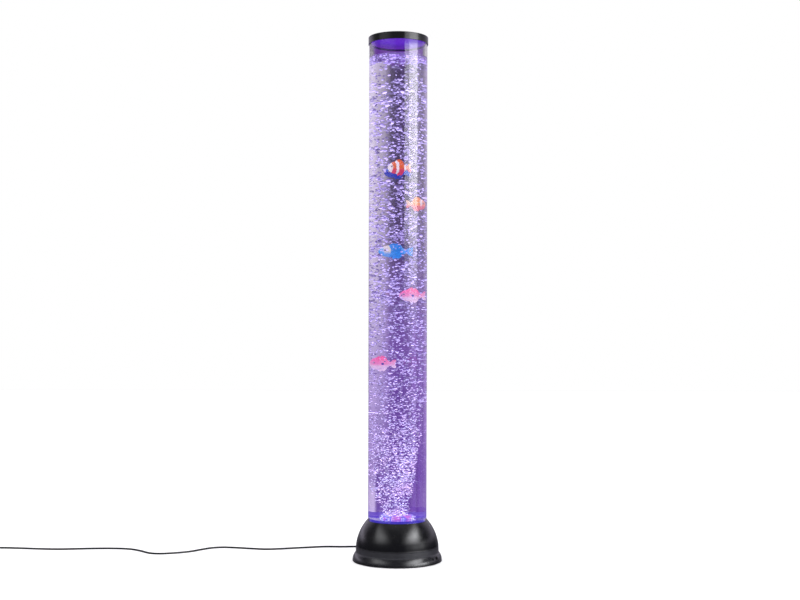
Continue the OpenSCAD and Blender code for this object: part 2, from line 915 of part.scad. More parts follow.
module power_button() {
    h = power_button_h;
    color("#050506")
        union() {
            at_button(power_button_angle, button_rear_r)
                linear_extrude(button_face_r(h) - button_rear_r) oval(power_button_w, h, 0);
            at_button(power_button_angle, retainer_r(h))
                linear_extrude(retainer_t) oval(power_button_w, h, retainer_rim);
        }
}

module mode_button() {
    d = mode_button_d;
    color("#050506") {
        at_button(mode_button_angle, button_rear_r)
            cylinder(d = d, h = button_face_r(d) - button_rear_r);
        at_button(mode_button_angle, retainer_r(d))
            cylinder(r = d / 2 + retainer_rim, h = retainer_t);
    }
}

plug_barrel_d = 5.5;
plug_barrel_l = 9.5;
jack_pin_d = 2;
jack_block = [10, 8.5, 10];
jack_block_y1 = shelf_r - 0.5;
jack_y0 = jack_block_y1 - jack_block[1] / 2;

module power_jack() {
    color("#1a1a1a")
        difference() {
            union() {
                translate([0, jack_y0, jack_z]) rotate([-90, 0, 0])
                    cylinder(d = jack_d, h = jack_face_y - jack_y0);
                translate([
                    -jack_block[0] / 2, jack_block_y1 - jack_block[1], jack_z - jack_block[2] / 2
                ])
                    cube(jack_block);
            }
            translate([0, jack_face_y - plug_barrel_l - 1, jack_z]) rotate([-90, 0, 0])
                difference() {
                    cylinder(r = plug_barrel_d / 2 + 0.1, h = plug_barrel_l + 1 + over);
                    cylinder(d = jack_pin_d, h = plug_barrel_l - 1);
                }
        }
}

// ---------- Swept tubes: leads and cord ----------

function unit(v) = v / norm(v);

function spline_point(a, b, c, d, u) =
    0.5 * (2 * b + (c - a) * u + (2 * a - 5 * b + 4 * c - d) * u * u
           + (3 * b - a - 3 * c + d) * u * u * u);

// A smooth path through the points, with a new point about every step
function smooth_path(p, step) = concat(
    [
        for (i = [0:len(p) - 2])
            let (
                a = p[max(i - 1, 0)],
                d = p[min(i + 2, len(p) - 1)],
                n = max(1, round(norm(p[i + 1] - p[i]) / step))
            )
            for (j = [0:n - 1]) spline_point(a, p[i], p[i + 1], d, j / n)
    ],
    [p[len(p) - 1]]
);

function path_length(p, i = 0) =
    i >= len(p) - 1 ? 0 : norm(p[i + 1] - p[i]) + path_length(p, i + 1);

// A closed tube of triangles along a path. No stretch of it may run along ref.
module sweep(path, r, sides, ref = [0, 0, 1]) {
    last = len(path) - 1;
    points = [
        for (i = [0:last])
            let (
                t = unit(path[min(i + 1, last)] - path[max(i - 1, 0)]),
                across = unit(cross(ref, t)),
                up = cross(t, across)
            )
            for (k = [0:sides - 1])
                path[i] + r * (cos(360 * k / sides) * across + sin(360 * k / sides) * up)
    ];
    walls = [
        for (i = [0:last - 1], k = [0:sides - 1])
            let (
                a = i * sides + k,
                b = i * sides + (k + 1) % sides,
                c = a + sides,
                d = b + sides
            )
            each [[a, c, b], [b, c, d]]
    ];
    ends = [
        for (k = [1:sides - 2])
            each [[0, k, k + 1], [last * sides, last * sides + k + 1, last * sides + k]]
    ];
    polyhedron(points = points, faces = concat(walls, ends), convexity = 6);
}

lead_r = 0.7;
lead_sides = 6;
lead_step = 6;

// Two insulated leads side by side. No stretch of them may run along ref.
module lead_pair(points, ref) {
    path = smooth_path(points, lead_step);
    last = len(path) - 1;
    for (s = [-1, 1])
        sweep(
            [
                for (i = [0:last])
                    let (t = path[min(i + 1, last)] - path[max(i - 1, 0)])
                    path[i] + s * lead_gap / 2 * unit(cross(ref, t))
            ],
            lead_r, lead_sides, ref
        );
}

lead_gap = 1.8;
lead_bend = 5;
socket_top = board_z1 + 7.2;
left_socket = [-19, board_y0 + board_w / 2 - 8, socket_top];
right_socket = [17, board_y0 + board_w / 2 - 8, socket_top];

module supply_leads() {
    rear = [0, jack_block_y1 - jack_block[1] - 0.4, jack_z];
    under_valve = [valve_x0 + valve_l / 3, 0, (valve_z - valve_d / 2 + outlet_z + hose_r) / 2];
    color("firebrick")
        lead_pair(
            [
                rear, rear + [0, -lead_bend, 1],
                [hose_return_r, rear[1] - hose_bend_r, jack_z + hose_r + 4],
                [valve_x0 - 2, valve_d + 2 * lead_bend, under_valve[2] + lead_bend], under_valve,
                [valve_x0, -board_w + 4, under_valve[2] + 1],
                [right_socket[0] - 1, board_y0 + board_w - lead_bend, socket_top + lead_bend],
                right_socket + [-3, 0, 3], right_socket + [-3, 0, 0]
            ],
            [1, 1, 0.5]
        );
}

module led_leads() {
    top = [0, -24, led_board_z0 - 0.2];
    color("goldenrod")
        lead_pair(
            [
                top, top + [0, -0.6, -6], [-6, -28, 44], [-14, -32, 30],
                left_socket + [3, 1, 6], left_socket + [3, 0, 0.3]
            ],
            [1, 0, 0]
        );
}

module pump_leads() {
    wall = [pump_x0 + 22, -pump_w / 2 - 0.2, pump_z0 + 18];
    color("steelblue")
        lead_pair(
            [
                wall, wall + [0, -4, 0.5], wall + [6, -8, 0], [-22, board_y0 + 10, socket_top + 6],
                left_socket + [-3, 0, 3], left_socket + [-3, 0, 0]
            ],
            [1, 1, 0.6]
        );
}

module switch_leads() {
    a = switch_angle - 90;
    rear = [(switch_r - 0.2) * cos(a), (switch_r - 0.2) * sin(a), 15];
    color("darkorange")
        lead_pair(
            [
                rear, rear - [4, -2, -1], [44, -26, 20], [34, -30, socket_top + 4],
                [25, -38, socket_top + 4], right_socket + [3, 0, 3], right_socket + [3, 0, 0]
            ],
            [1, -1, 0.6]
        );
}

// ---------- Cord ----------

plug_grip_d = 9;
plug_grip_l = 20;
plug_relief_l = 16;
plug_face_y = base_r + 0.6;
cord_exit = [0, plug_face_y + plug_grip_l + plug_relief_l, jack_z];

module power_plug() {
    color("#101012")
        translate([0, plug_face_y, jack_z]) rotate([-90, 0, 0]) {
            rotate_extrude()
                polygon([
                    [0, 0], [plug_grip_d / 2 - 0.8, 0], [plug_grip_d / 2, 0.8],
                    [plug_grip_d / 2, plug_grip_l - 2], [cord_d / 2 + 1.5, plug_grip_l],
                    [cord_d / 2 + 0.5, plug_grip_l + plug_relief_l],
                    [0, plug_grip_l + plug_relief_l]
                ]);
            translate([0, 0, -plug_barrel_l])
                difference() {
                    cylinder(d = plug_barrel_d, h = plug_barrel_l + 0.5);
                    translate([0, 0, -over]) cylinder(d = 2.5, h = plug_barrel_l);
                }
        }
}

cord_r = cord_d / 2;
cord_sides = 8;
floor_z = cord_r;
coil_pitch = cord_d + coil_gap;
coil_turns = 7.25;
coil_inner_r = coil_outer_r - coil_pitch * coil_turns / 2;
coil_z = cord_r + tie_t + slip;
coil_centre = [-822, 85];
coil_start = [coil_centre[0], coil_centre[1] + coil_outer_r, coil_z];
coil_end = [coil_centre[0] - coil_outer_r, coil_centre[1], coil_z + coil_pitch];

// The free cord's route: out of the plug, down to the floor and away to the left
cord_route = [
    cord_exit, cord_exit + [0, 7, -0.4], [-4, 136, 10.4], [-12, 141, 7.8], [-24, 142, 4.8],
    [-38, 140, 2.8], [-52, 138, floor_z], [-70, 136, floor_z], [-90, 135, floor_z],
    [-112, 133, floor_z], [-140, 134, floor_z], [-170, 127, floor_z], [-200, 118, floor_z],
    [-235, 107, floor_z], [-260, 104, floor_z], [-290, 111, floor_z], [-320, 120, floor_z],
    [-345, 124, floor_z], [-366, 116, floor_z], [-383, 98, floor_z], [-401, 77, floor_z],
    [-425, 62, floor_z], [-455, 53, floor_z], [-476, 59, floor_z], [-496, 80, floor_z],
    [-520, 100, floor_z], [-550, 108, floor_z], [-590, 108, floor_z], [-625, 103, floor_z],
    [-660, 99, floor_z], [-695, 101, floor_z], [-730, 107, floor_z], [-765, 112, floor_z],
    [-795, 112, floor_z + 0.3], [-809, 112, coil_z - 0.2], coil_start
];
cord_path = smooth_path(cord_route, 13.2);

module cord_run() {
    color("#101012") sweep(cord_path, cord_r, cord_sides);
}

// The coil spirals in along the floor and out again on top, and climbs in its middle half turn
function coil_point(t) =
    let (
        inward = coil_turns / 2 - abs(t - coil_turns / 2),
        r = coil_outer_r - coil_pitch * inward,
        climb = min(max(t - coil_turns / 2 + 0.25, 0) / 0.5, 1)
    )
    [
        coil_centre[0] + r * cos(90 + 360 * t),
        coil_centre[1] + r * sin(90 + 360 * t),
        coil_z + coil_pitch * (3 * climb * climb - 2 * climb * climb * climb)
    ];
coil_rings_per_turn = 24;
coil_sides = 6;
coil_rings = coil_turns * coil_rings_per_turn;
coil_path = [for (i = [0:coil_rings]) coil_point(i / coil_rings_per_turn)];

// The coil's least gap to itself, between points that lie over half a turn apart
coil_self_gap = min([
    for (i = [0:coil_rings - 12])
        min([for (j = [min(i + 12, coil_rings):coil_rings]) norm(coil_path[j] - coil_path[i])])
]) - cord_d;

module cord_coil() {
    echo("least gap between the coil's turns", coil_self_gap);
    echo("free cord", path_length(cord_path), "coiled cord", path_length(coil_path));
    color("#101012") sweep(coil_path, cord_r, coil_sides);
}

adaptor_cord_z = 7;
adaptor_relief_l = 18;
adaptor_y1 = 22;
tail_path = smooth_path([
    coil_end, coil_end + [-0.4, -10, -0.4], coil_end + [-0.8, -22, -0.6],
    [coil_end[0] - 1, adaptor_y1 + adaptor_relief_l + 8, adaptor_cord_z - 0.3],
    [coil_end[0] - 1, adaptor_y1 + adaptor_relief_l, adaptor_cord_z]
], 9);

module cord_tail() {
    color("#101012") sweep(tail_path, cord_r, cord_sides);
}

tie_angle = 315;
tie_w = 5;

module coil_tie() {
    inner = coil_inner_r - cord_r - slip;
    outer = coil_outer_r + cord_r + slip;
    color("#18181a")
        translate([coil_centre[0], coil_centre[1], 0])
            rotate([0, 0, tie_angle])
                translate([inner - tie_t, -tie_w / 2, coil_z - cord_r - slip - tie_t])
                    difference() {
                        cube([
                            outer - inner + 2 * tie_t, tie_w,
                            coil_pitch + cord_d + 2 * slip + 2 * tie_t
                        ]);
                        translate([tie_t, -over, tie_t])
                            cube([
                                outer - inner, tie_w + 2 * over,
                                coil_pitch + cord_d + 2 * slip
                            ]);
                    }
}

// ---------- Wall adaptor ----------

adaptor_x = coil_end[0] - 1;
adaptor_split = adaptor_h * 0.6;
adaptor_corner = 5;
blade_w = 6.3;
blade_t = 1.5;
blade_l = 17;
blade_pitch = 12.7;

module adaptor_frame() {
    translate([adaptor_x - adaptor_w / 2, adaptor_y1 - adaptor_l, 0]) children();
}

module adaptor_shell(h, floor_up) {
    difference() {
        rounded_plate(adaptor_w, adaptor_l, h, adaptor_corner);
        translate([adaptor_wall, adaptor_wall, floor_up ? adaptor_wall : -over])
            rounded_plate(
                adaptor_w - 2 * adaptor_wall, adaptor_l - 2 * adaptor_wall,
                h - adaptor_wall + over, adaptor_corner - adaptor_wall
            );
    }
}

module adaptor_case() {
    color("#121214")
        difference() {
            adaptor_frame() adaptor_shell(adaptor_split, true);
            translate([adaptor_x, adaptor_y1 + over, adaptor_cord_z]) rotate([90, 0, 0])
                cylinder(r = cord_r + 0.5 + glue, h = adaptor_wall + 2 * over);
        }
}

module adaptor_lid() {
    color("#141416")
        difference() {
            adaptor_frame() translate([0, 0, adaptor_split])
                adaptor_shell(adaptor_h - adaptor_split, false);
            adaptor_slots(glue);
        }
}

module adaptor_slots(grow) {
    for (s = [-1, 1])
        translate([
            adaptor_x + s * blade_pitch / 2 - blade_t / 2 - grow,
            adaptor_y1 - adaptor_l + 20 - blade_w / 2 - grow,
            adaptor_h - adaptor_wall - 4
        ])
            cube([blade_t + 2 * grow, blade_w + 2 * grow, blade_l + adaptor_wall + 4]);
}

module adaptor_blades() {
    color("silver") adaptor_slots(0);
}

module adaptor_relief() {
    color("#101012")
        translate([adaptor_x, adaptor_y1 - adaptor_wall, adaptor_cord_z]) rotate([-90, 0, 0])
            rotate_extrude()
                polygon([
                    [0, 0], [cord_r + 0.5, 0], [cord_r + 0.5, adaptor_wall + 0.1],
                    [cord_r + 2, adaptor_wall + 0.1], [cord_r + 2, adaptor_wall + 2.5],
                    [cord_r + 0.5, adaptor_wall + adaptor_relief_l],
                    [0, adaptor_wall + adaptor_relief_l]
                ]);
}

module adaptor_transformer() {
    core = [26, 22, adaptor_h - 2 * adaptor_wall - 6.5];
    winding = core[1] + 10;
    color("slategray")
        translate([adaptor_x, adaptor_y1 - 26, adaptor_wall]) {
            translate([-core[0] / 2, -core[1] / 2, 0]) cube(core);
            translate([-core[0] / 2 + 4, -winding / 2, 3])
                cube([core[0] - 8, winding, core[2] - 6]);
        }
}

// ---------- Fish ----------

// Height and thickness of the body at u, from 0 at the nose to 1 at the tail's root
function body_share(u) = 2.46 * pow(u + 0.004, 0.62) * pow(1.06 - u, 0.72) * (1 - 0.12 * u);

// A fish seen from its left side with its nose towards -X, centred on the origin
module fish(l, h, t) {
    stations = 10;
    sides = 12;
    body_l = 0.78 * l;
    nose = -l / 2;
    half_h = 0.36 * h;
    rows = [
        for (i = [0:stations])
            let (u = i / stations, share = body_share(u))
            for (k = [0:sides - 1])
                [
                    nose + body_l * u,
                    t / 2 * share * sin(360 * k / sides),
                    half_h * share * cos(360 * k / sides)
                ]
    ];
    walls = [
        for (i = [0:stations - 1], k = [0:sides - 1])
            let (a = i * sides + k, b = i * sides + (k + 1) % sides)
            each [[a, b, a + sides], [b, b + sides, a + sides]]
    ];
    top = stations * sides;
    ends = [for (k = [1:sides - 2]) each [[0, k + 1, k], [top, top + k, top + k + 1]]];
    polyhedron(points = rows, faces = concat(walls, ends), convexity = 4);
    fin_t = 1.4;
    translate([0, fin_t / 2, 0]) rotate([90, 0, 0])
        linear_extrude(fin_t) {
            polygon([
                [0.24 * l, 0.04 * h], [0.36 * l, 0.2 * h], [0.47 * l, 0.28 * h], [0.5 * l, 0.16 * h],
                [0.46 * l, 0], [0.5 * l, -0.16 * h], [0.46 * l, -0.27 * h], [0.36 * l, -0.2 * h],
                [0.24 * l, -0.04 * h]
            ]);
            polygon([
                [-0.24 * l, 0.26 * h], [-0.16 * l, 0.44 * h], [-0.04 * l, 0.5 * h],
                [0.08 * l, 0.44 * h], [0.17 * l, 0.3 * h], [0.16 * l, 0.08 * h], [-0.1 * l, 0.2 * h]
            ]);
            polygon([
                [-0.14 * l, -0.28 * h], [-0.1 * l, -0.45 * h], [-0.02 * l, -0.5 * h],
                [0.02 * l, -0.32 * h], [0.08 * l, -0.42 * h], [0.16 * l, -0.32 * h],
                [0.15 * l, -0.08 * h], [-0.06 * l, -0.2 * h]
            ]);
        }
}

// Where each fish drifts at rest: how far in from the tube's wall, its bearing from +X,
// its height above the tube's lower end, its turn about Z, and its size beside a full-grown one
orange_spot = [14, -86, 672, 0, 1];
pale_orange_spot = [18, -30, 606, 205, 0.9];
blue_spot = [22.5, 94, 520, 0, 1];
royal_blue_spot = [35, 92, 668, 0, 0.84];
pink_upper_spot = [30, 10, 436, 0, 0.98];
pink_lower_spot = [30, 170, 308, 0, 0.98];

module fish_at(spot, tint) {
    r = tube_ir - spot[0];
    size = spot[4];
    color(tint)
        translate([r * cos(spot[1]), r * sin(spot[1]), tube_z0 + spot[2]])
            rotate([0, 0, spot[3]])
                fish(fish_l * size, fish_h * size, fish_t * size);
}

module orange_fish() {
    fish_at(orange_spot, "darkorange");
}

module pale_orange_fish() {
    fish_at(pale_orange_spot, "sandybrown");
}

module blue_fish() {
    fish_at(blue_spot, "deepskyblue");
}

module royal_blue_fish() {
    fish_at(royal_blue_spot, "royalblue");
}

module pink_fish_upper() {
    fish_at(pink_upper_spot, "hotpink");
}

module pink_fish_lower() {
    fish_at(pink_lower_spot, "pink");
}

// ---------- Drawing ----------

water_tube();
tube_gasket();
floor_disc();
air_diffuser();
air_nozzle();
nozzle_nut();
top_cap();
base_dome();
base_plinth();
bottom_plate();
base_screws();
rubber_feet();
led_board();
red_leds();
green_leds();
blue_leds();
led_spacers();
led_screws();
pump_pads();
pump_case();
pump_lid();
pump_core();
pump_coil();
pump_valve_block();
pump_diaphragm();
pump_pivot_pin();
pump_arm();
pump_magnet();
hose_upper();
check_valve();
hose_lower();
control_board();
board_parts();
board_screws();
switch_board();
tact_switches();
power_jack();
supply_leads();
led_leads();
pump_leads();
switch_leads();
power_button();
mode_button();
orange_fish();
pale_orange_fish();
blue_fish();
royal_blue_fish();
pink_fish_upper();
pink_fish_lower();
power_plug();
cord_run();
cord_coil();
cord_tail();
coil_tie();
adaptor_case();
adaptor_lid();
adaptor_blades();
adaptor_relief();
adaptor_transformer();
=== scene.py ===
"""A bubble tube floor lamp: every surface's look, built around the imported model."""
import json
import math
import random
from collections import namedtuple

import bmesh
import bpy
import numpy as np
from mathutils import Euler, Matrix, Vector


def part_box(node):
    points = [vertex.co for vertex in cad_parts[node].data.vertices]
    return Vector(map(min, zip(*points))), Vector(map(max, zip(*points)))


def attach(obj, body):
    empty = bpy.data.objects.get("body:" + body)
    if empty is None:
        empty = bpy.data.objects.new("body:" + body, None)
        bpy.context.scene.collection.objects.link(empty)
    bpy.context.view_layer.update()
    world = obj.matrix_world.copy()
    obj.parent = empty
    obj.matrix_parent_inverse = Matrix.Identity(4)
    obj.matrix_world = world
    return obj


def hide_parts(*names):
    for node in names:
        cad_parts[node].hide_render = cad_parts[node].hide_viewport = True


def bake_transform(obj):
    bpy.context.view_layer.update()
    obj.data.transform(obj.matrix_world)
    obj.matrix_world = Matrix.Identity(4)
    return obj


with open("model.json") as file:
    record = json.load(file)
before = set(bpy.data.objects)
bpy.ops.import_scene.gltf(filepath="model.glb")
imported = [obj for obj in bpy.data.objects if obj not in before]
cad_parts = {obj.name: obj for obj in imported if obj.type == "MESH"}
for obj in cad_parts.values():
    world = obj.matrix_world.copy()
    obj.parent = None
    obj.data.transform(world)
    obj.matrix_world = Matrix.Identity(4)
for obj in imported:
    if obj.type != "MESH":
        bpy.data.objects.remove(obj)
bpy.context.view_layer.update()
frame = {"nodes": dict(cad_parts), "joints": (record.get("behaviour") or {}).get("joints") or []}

MM = 0.001

# ---------- Sizes, from the frame where it has them ----------

TUBE_LOW, TUBE_HIGH = (corner.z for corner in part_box("water_tube"))
TUBE_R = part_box("water_tube")[1].x
TUBE_WALL = 3 * MM
BORE_R = TUBE_R - TUBE_WALL
DISC_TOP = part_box("floor_disc")[1].z
DIFFUSER_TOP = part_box("air_diffuser")[1].z
WATER_LEVEL = 943 * MM
OVERLAP = 0.05 * MM          # how far the water reaches into the clear wall round it

# ---------- Shapes ----------


def link(obj):
    bpy.context.scene.collection.objects.link(obj)
    return obj


def mesh_object(name, points, faces, smooth=True):
    """A mesh object from its points and faces, which may be numpy arrays."""
    mesh = bpy.data.meshes.new(name)
    mesh.from_pydata(np.asarray(points).tolist(), [], [list(f) for f in np.asarray(faces, object)])
    mesh.validate()
    if smooth:
        mesh.shade_smooth()
    return link(bpy.data.objects.new(name, mesh))


def sharpen(obj, degrees=35):
    """Marks the edges that turn by more than this as sharp."""
    limit = math.radians(degrees)
    bm = bmesh.new()
    bm.from_mesh(obj.data)
    bmesh.ops.recalc_face_normals(bm, faces=bm.faces)
    for edge in bm.edges:
        edge.smooth = len(edge.link_faces) != 2 or edge.calc_face_angle(0) < limit
    bm.to_mesh(obj.data)
    bm.free()
    return obj


def lathe(name, profile, sides=192):
    """A closed profile of (radius, height) turned about Z. Points on the axis become one point."""
    angles = [2 * math.pi * k / sides for k in range(sides)]
    points, rings = [], []
    for r, z in profile:
        if r < 1e-9:
            rings.append([len(points)] * sides)
            points.append((0, 0, z))
        else:
            rings.append(list(range(len(points), len(points) + sides)))
            points += [(r * math.cos(a), r * math.sin(a), z) for a in angles]
    faces = []
    for i, ring in enumerate(rings):
        after = rings[(i + 1) % len(rings)]
        for k in range(sides):
            n = (k + 1) % sides
            corners = [ring[k], ring[n], after[n], after[k]]
            kept = [c for j, c in enumerate(corners) if c != corners[j - 1]]
            if len(kept) > 2:
                faces.append(kept)
    return sharpen(mesh_object(name, points, faces))


# ---------- Materials ----------


class Nodes:
    """A node tree, with short calls that add nodes and return what comes out of them."""

    def __init__(self, tree):
        self.tree = tree

    def put(self, value, socket):
        """Gives a socket another one's output, or a number, vector or colour of its own."""
        if isinstance(value, bpy.types.NodeSocket):
            self.tree.links.new(value, socket)
        elif socket.type == "RGBA" and len(value) == 3:
            socket.default_value = (*value, 1)
        else:
            socket.default_value = value

    def add(self, kind, inputs=None, out=0, **settings):
        node = self.tree.nodes.new(kind)
        for key, value in settings.items():
            setattr(node, key, value)
        for key, value in (inputs or {}).items():
            self.put(value, node.inputs[key])
        return node.outputs[out] if len(node.outputs) else None

    def math(self, operation, a, b=0.0, c=0.5):
        return self.add("ShaderNodeMath", {0: a, 1: b, 2: c}, operation=operation)

    def times(self, first, *others):
        for other in others:
            first = self.math("MULTIPLY", first, other)
        return first

    def vector(self, operation, a, b=(0, 0, 0), out=0):
        return self.add("ShaderNodeVectorMath", {0: a, 1: b}, out, operation=operation)

    def scaled(self, vector, number):
        return self.add("ShaderNodeVectorMath", {0: vector, 3: number}, operation="SCALE")

    def axis(self, vector, number):
        return self.add("ShaderNodeSeparateXYZ", {0: vector}, number)

    def ramp(self, value, low, high, start=0.0, end=1.0, **settings):
        """A number that goes from low to high while the value goes from start to end."""
        return self.add("ShaderNodeMapRange", {
            "Value": value, "From Min": start, "From Max": end, "To Min": low, "To Max": high,
        }, **settings)

    def step(self, value, start, end, low=0.0, high=1.0):
        """The same with soft ends."""
        return self.ramp(value, low, high, start, end, interpolation_type="SMOOTHSTEP")

    def mix(self, factor, a, b):
        """Colour a where the factor is 0 and b where it is 1."""
        return self.add("ShaderNodeMix", {0: factor, 6: a, 7: b}, 2, data_type="RGBA")

    def bands(self, share, stops):
        """The colour at a share from 0 to 1, between stops of (share, colour)."""
        colour = self.add("ShaderNodeValToRGB", {0: share})
        elements = colour.node.color_ramp.elements
        while len(elements) < len(stops):
            elements.new(0.5)
        for element, (at, tint) in zip(elements, stops):
            element.position = at
            element.color = (*tint, 1)
        return colour

    def levels(self, value, stops, top=1.0):
        """The number at a value, between stops of (value, number) that go no higher than top."""
        start, end = stops[0][0], stops[-1][0]
        share = self.ramp(value, 0.0, 1.0, start, end)
        greys = [((at - start) / (end - start), (level / top,) * 3) for at, level in stops]
        grey = self.bands(share, greys)
        return grey if top == 1.0 else self.times(grey, top)


class Look(Nodes):
    """A material with one Principled shader."""

    def __init__(self, name, colour, roughness=0.5, metallic=0.0, ior=1.5):
        self.material = bpy.data.materials.new(name)
        self.material.use_nodes = True
        super().__init__(self.material.node_tree)
        self.shader = self.tree.nodes["Principled BSDF"]
        self.set("Base Color", colour)
        self.set("Roughness", roughness)
        self.set("Metallic", metallic)
        self.set("IOR", ior)
        self.place = self.add("ShaderNodeTexCoord", out="Object")
        self.height = self.axis(self.place, 2)

    def set(self, socket, value):
        self.put(value, self.shader.inputs[socket])

    def glow(self, colour, strength):
        """Light that the surface gives off."""
        self.set("Emission Color", colour)
        self.set("Emission Strength", strength)
        self.material.cycles.emission_sampling = "NONE"

    def noise(self, size, detail=2.0, stretch=(1, 1, 1), shift=(0, 0, 0)):
        """Noise from 0 to 1 whose lumps are about that size in metres."""
        moved = self.add("ShaderNodeMapping", {
            "Vector": self.place, "Location": shift, "Scale": [s / size for s in stretch],
        })
        return self.add("ShaderNodeTexNoise", {"Vector": moved, "Scale": 1.0, "Detail": detail})

    def clouds(self, size):
        """Soft patches from 0 to 1."""
        return self.ramp(self.noise(size), 0.0, 1.0, 0.35, 0.65)

    def cells(self, size, **settings):
        inputs = {"Vector": self.place, "Scale": 1 / size}
        return self.add("ShaderNodeTexVoronoi", inputs, **settings)

    def away(self, centre, keep):
        """How far a point is from the centre, along the axes to keep."""
        off = self.vector("MULTIPLY", self.vector("SUBTRACT", self.place, centre), keep)
        return self.vector("LENGTH", off, out=1)

    def bump(self, height, depth, strength=1.0):
        self.set("Normal", self.add("ShaderNodeBump", {
            "Height": height, "Distance": depth, "Strength": strength,
        }))


def shaded(colour, share):
    return tuple(min(1.0, c * share) for c in colour)


def moulded(name, colour, roughness, grain=1.2 * MM, depth=0.03 * MM, unevenness=0.12,
            metallic=0.0):
    """Moulded or cast stock: a fine surface grain, slow changes of shade and uneven gloss."""
    look = Look(name, colour, roughness, metallic)
    look.set("Base Color", look.mix(
        look.noise(22 * MM, 3), shaded(colour, 1 - unevenness), shaded(colour, 1 + unevenness)))
    look.set("Roughness", look.ramp(
        look.noise(6 * MM, 4), roughness * 0.85, min(1.0, roughness * 1.18)))
    look.bump(look.noise(grain, 2), depth)
    return look


def polished_black(name, colour, roughness):
    """Gloss moulding: a hint of orange peel, faint wiping marks and a little dust."""
    look = Look(name, colour, roughness)
    wiped = look.noise(9 * MM, 4, stretch=(1, 1, 0.25))
    look.set("Roughness", look.ramp(wiped, roughness * 0.8, roughness * 1.3, 0.3, 0.7))
    dust = look.ramp(look.noise(0.9 * MM, 1), 0.0, 1.0, 0.72, 0.8)
    look.set("Base Color", look.mix(dust, colour, shaded(colour, 2.6)))
    look.bump(look.noise(3.2 * MM, 1), 0.015 * MM)
    return look


# The base's finish by its height in millimetres, up to the dome's lip
BASE_SHINE = [(0, 0.5), (14, 0.5), (17, 0.45), (27, 0.45), (30, 0.06), (40, 0.10), (54, 0.55),
              (80, 0.55)]
BASE_ROUGHNESS = [(0, 0.24), (14, 0.24), (17, 0.42), (27, 0.42), (30, 0.22), (80, 0.22)]
# Painted sheen: how much the colour is lightened, most on the band and less on the flange, for the
# light they mirror
BASE_PAINTED_SHEEN = [(0, 0.3), (14, 0.3), (16.5, 1), (27, 1), (28.5, 0), (80, 0)]


def base_black(name, colour):
    """The base's gloss black: bright on the dome's top, duller on its lower wall and the band, with
    a painted sheen that lightens the colour of the band and, less, the flange.
    """
    look = polished_black(name, colour, 0.22)
    height = look.math("DIVIDE", look.height, MM)
    look.set("Specular IOR Level", look.levels(height, BASE_SHINE))
    uneven = look.ramp(look.noise(9 * MM, 4), 0.85, 1.25, 0.3, 0.7)
    look.set("Roughness", look.times(look.levels(height, BASE_ROUGHNESS), uneven))
    # Painted sheen: the band and the flange are made lighter in colour in place of the light they
    # mirror
    look.set("Base Color", look.mix(look.levels(height, BASE_PAINTED_SHEEN), colour, shaded(colour, 4)))
    return look


def cap_look(name):
    """The cap's gloss black, with a painted violet glow for the lamps' light on its underside and
    inside its ring.
    """
    look = polished_black(name, (0.006, 0.006, 0.007), 0.12)
    look.set("Specular IOR Level", 0.4)
    below = look.ramp(look.height, 1.0, 0.0, TUBE_HIGH + 0.5 * MM, TUBE_HIGH + 1.0 * MM)
    within = look.ramp(look.away((0, 0, 0), (1, 1, 0)), 1.0, 0.0, BORE_R, BORE_R + 0.2 * MM)
    rise = look.ramp(look.height, 0.0, 1.0, TUBE_HIGH - 14 * MM, TUBE_HIGH)
    uneven = look.ramp(look.noise(9 * MM), 0.75, 1.2)
    # Painted glow: emission stands in for the lamps' violet light falling on the cap
    look.glow(look.mix(rise, (0.11, 0.022, 0.24), (0.062, 0.011, 0.34)),
              look.times(look.times(below, within), uneven))
    return look


def vinyl(name, colour):
    """The soft sheathing of a lead: satin, with fine marks along and across it."""
    look = Look(name, colour, 0.42)
    look.set("Roughness", look.ramp(look.noise(5 * MM, 3), 0.34, 0.52))
    look.set("Base Color", look.mix(
        look.noise(14 * MM, 3), shaded(colour, 0.75), shaded(colour, 1.5)))
    look.bump(look.noise(0.8 * MM, 2), 0.03 * MM)
    return look


def brushed(name, colour, roughness, along=(8, 1, 1)):
    """Metal with fine lines along one way."""
    look = Look(name, colour, roughness, metallic=0.75)
    lines = look.noise(0.5 * MM, 3, stretch=[1 / a for a in along])
    look.set("Roughness", look.ramp(lines, roughness * 0.7, min(1.0, roughness * 1.4)))
    look.set("Base Color", look.mix(
        look.noise(5 * MM, 3), shaded(colour, 0.82), shaded(colour, 1.08)))
    look.bump(lines, 0.01 * MM)
    return look


def circuit(name, colour, copper):
    """A board: solder mask over raised tracks, with small pads."""
    look = Look(name, colour, 0.35)
    raised = look.ramp(look.cells(2.6 * MM, feature="DISTANCE_TO_EDGE"), 1.0, 0.0, 0.05, 0.09)
    pad = look.ramp(look.cells(3.1 * MM), 1.0, 0.0, 0.12, 0.16)
    masked = look.mix(raised, colour, shaded(colour, 1.5))
    look.set("Base Color", look.mix(pad, masked, copper))
    look.set("Roughness", look.ramp(pad, 0.38, 0.25))
    look.bump(raised, 0.03 * MM)
    return look


def lamp_epoxy(name, colour, strength):
    """A lit lamp's clear dome: bright at the chip and paler round it."""
    look = Look(name, colour, 0.08)
    cloudy = look.noise(2 * MM, 2)
    pale = shaded(tuple(c + 0.15 for c in colour), 1)
    look.glow(look.mix(cloudy, colour, pale), look.ramp(cloudy, strength * 0.8, strength * 1.2))
    return look


def clear_part(name, tint, streaks=0.0):
    """Clear polished acrylic, with upright streaks that deep."""
    look = Look(name, tint, 0.0, ior=1.49)
    look.set("Transmission Weight", 1.0)
    if streaks:
        look.bump(look.noise(2.5 * MM, 1, stretch=(1, 1, 0.02)), streaks)
    return look


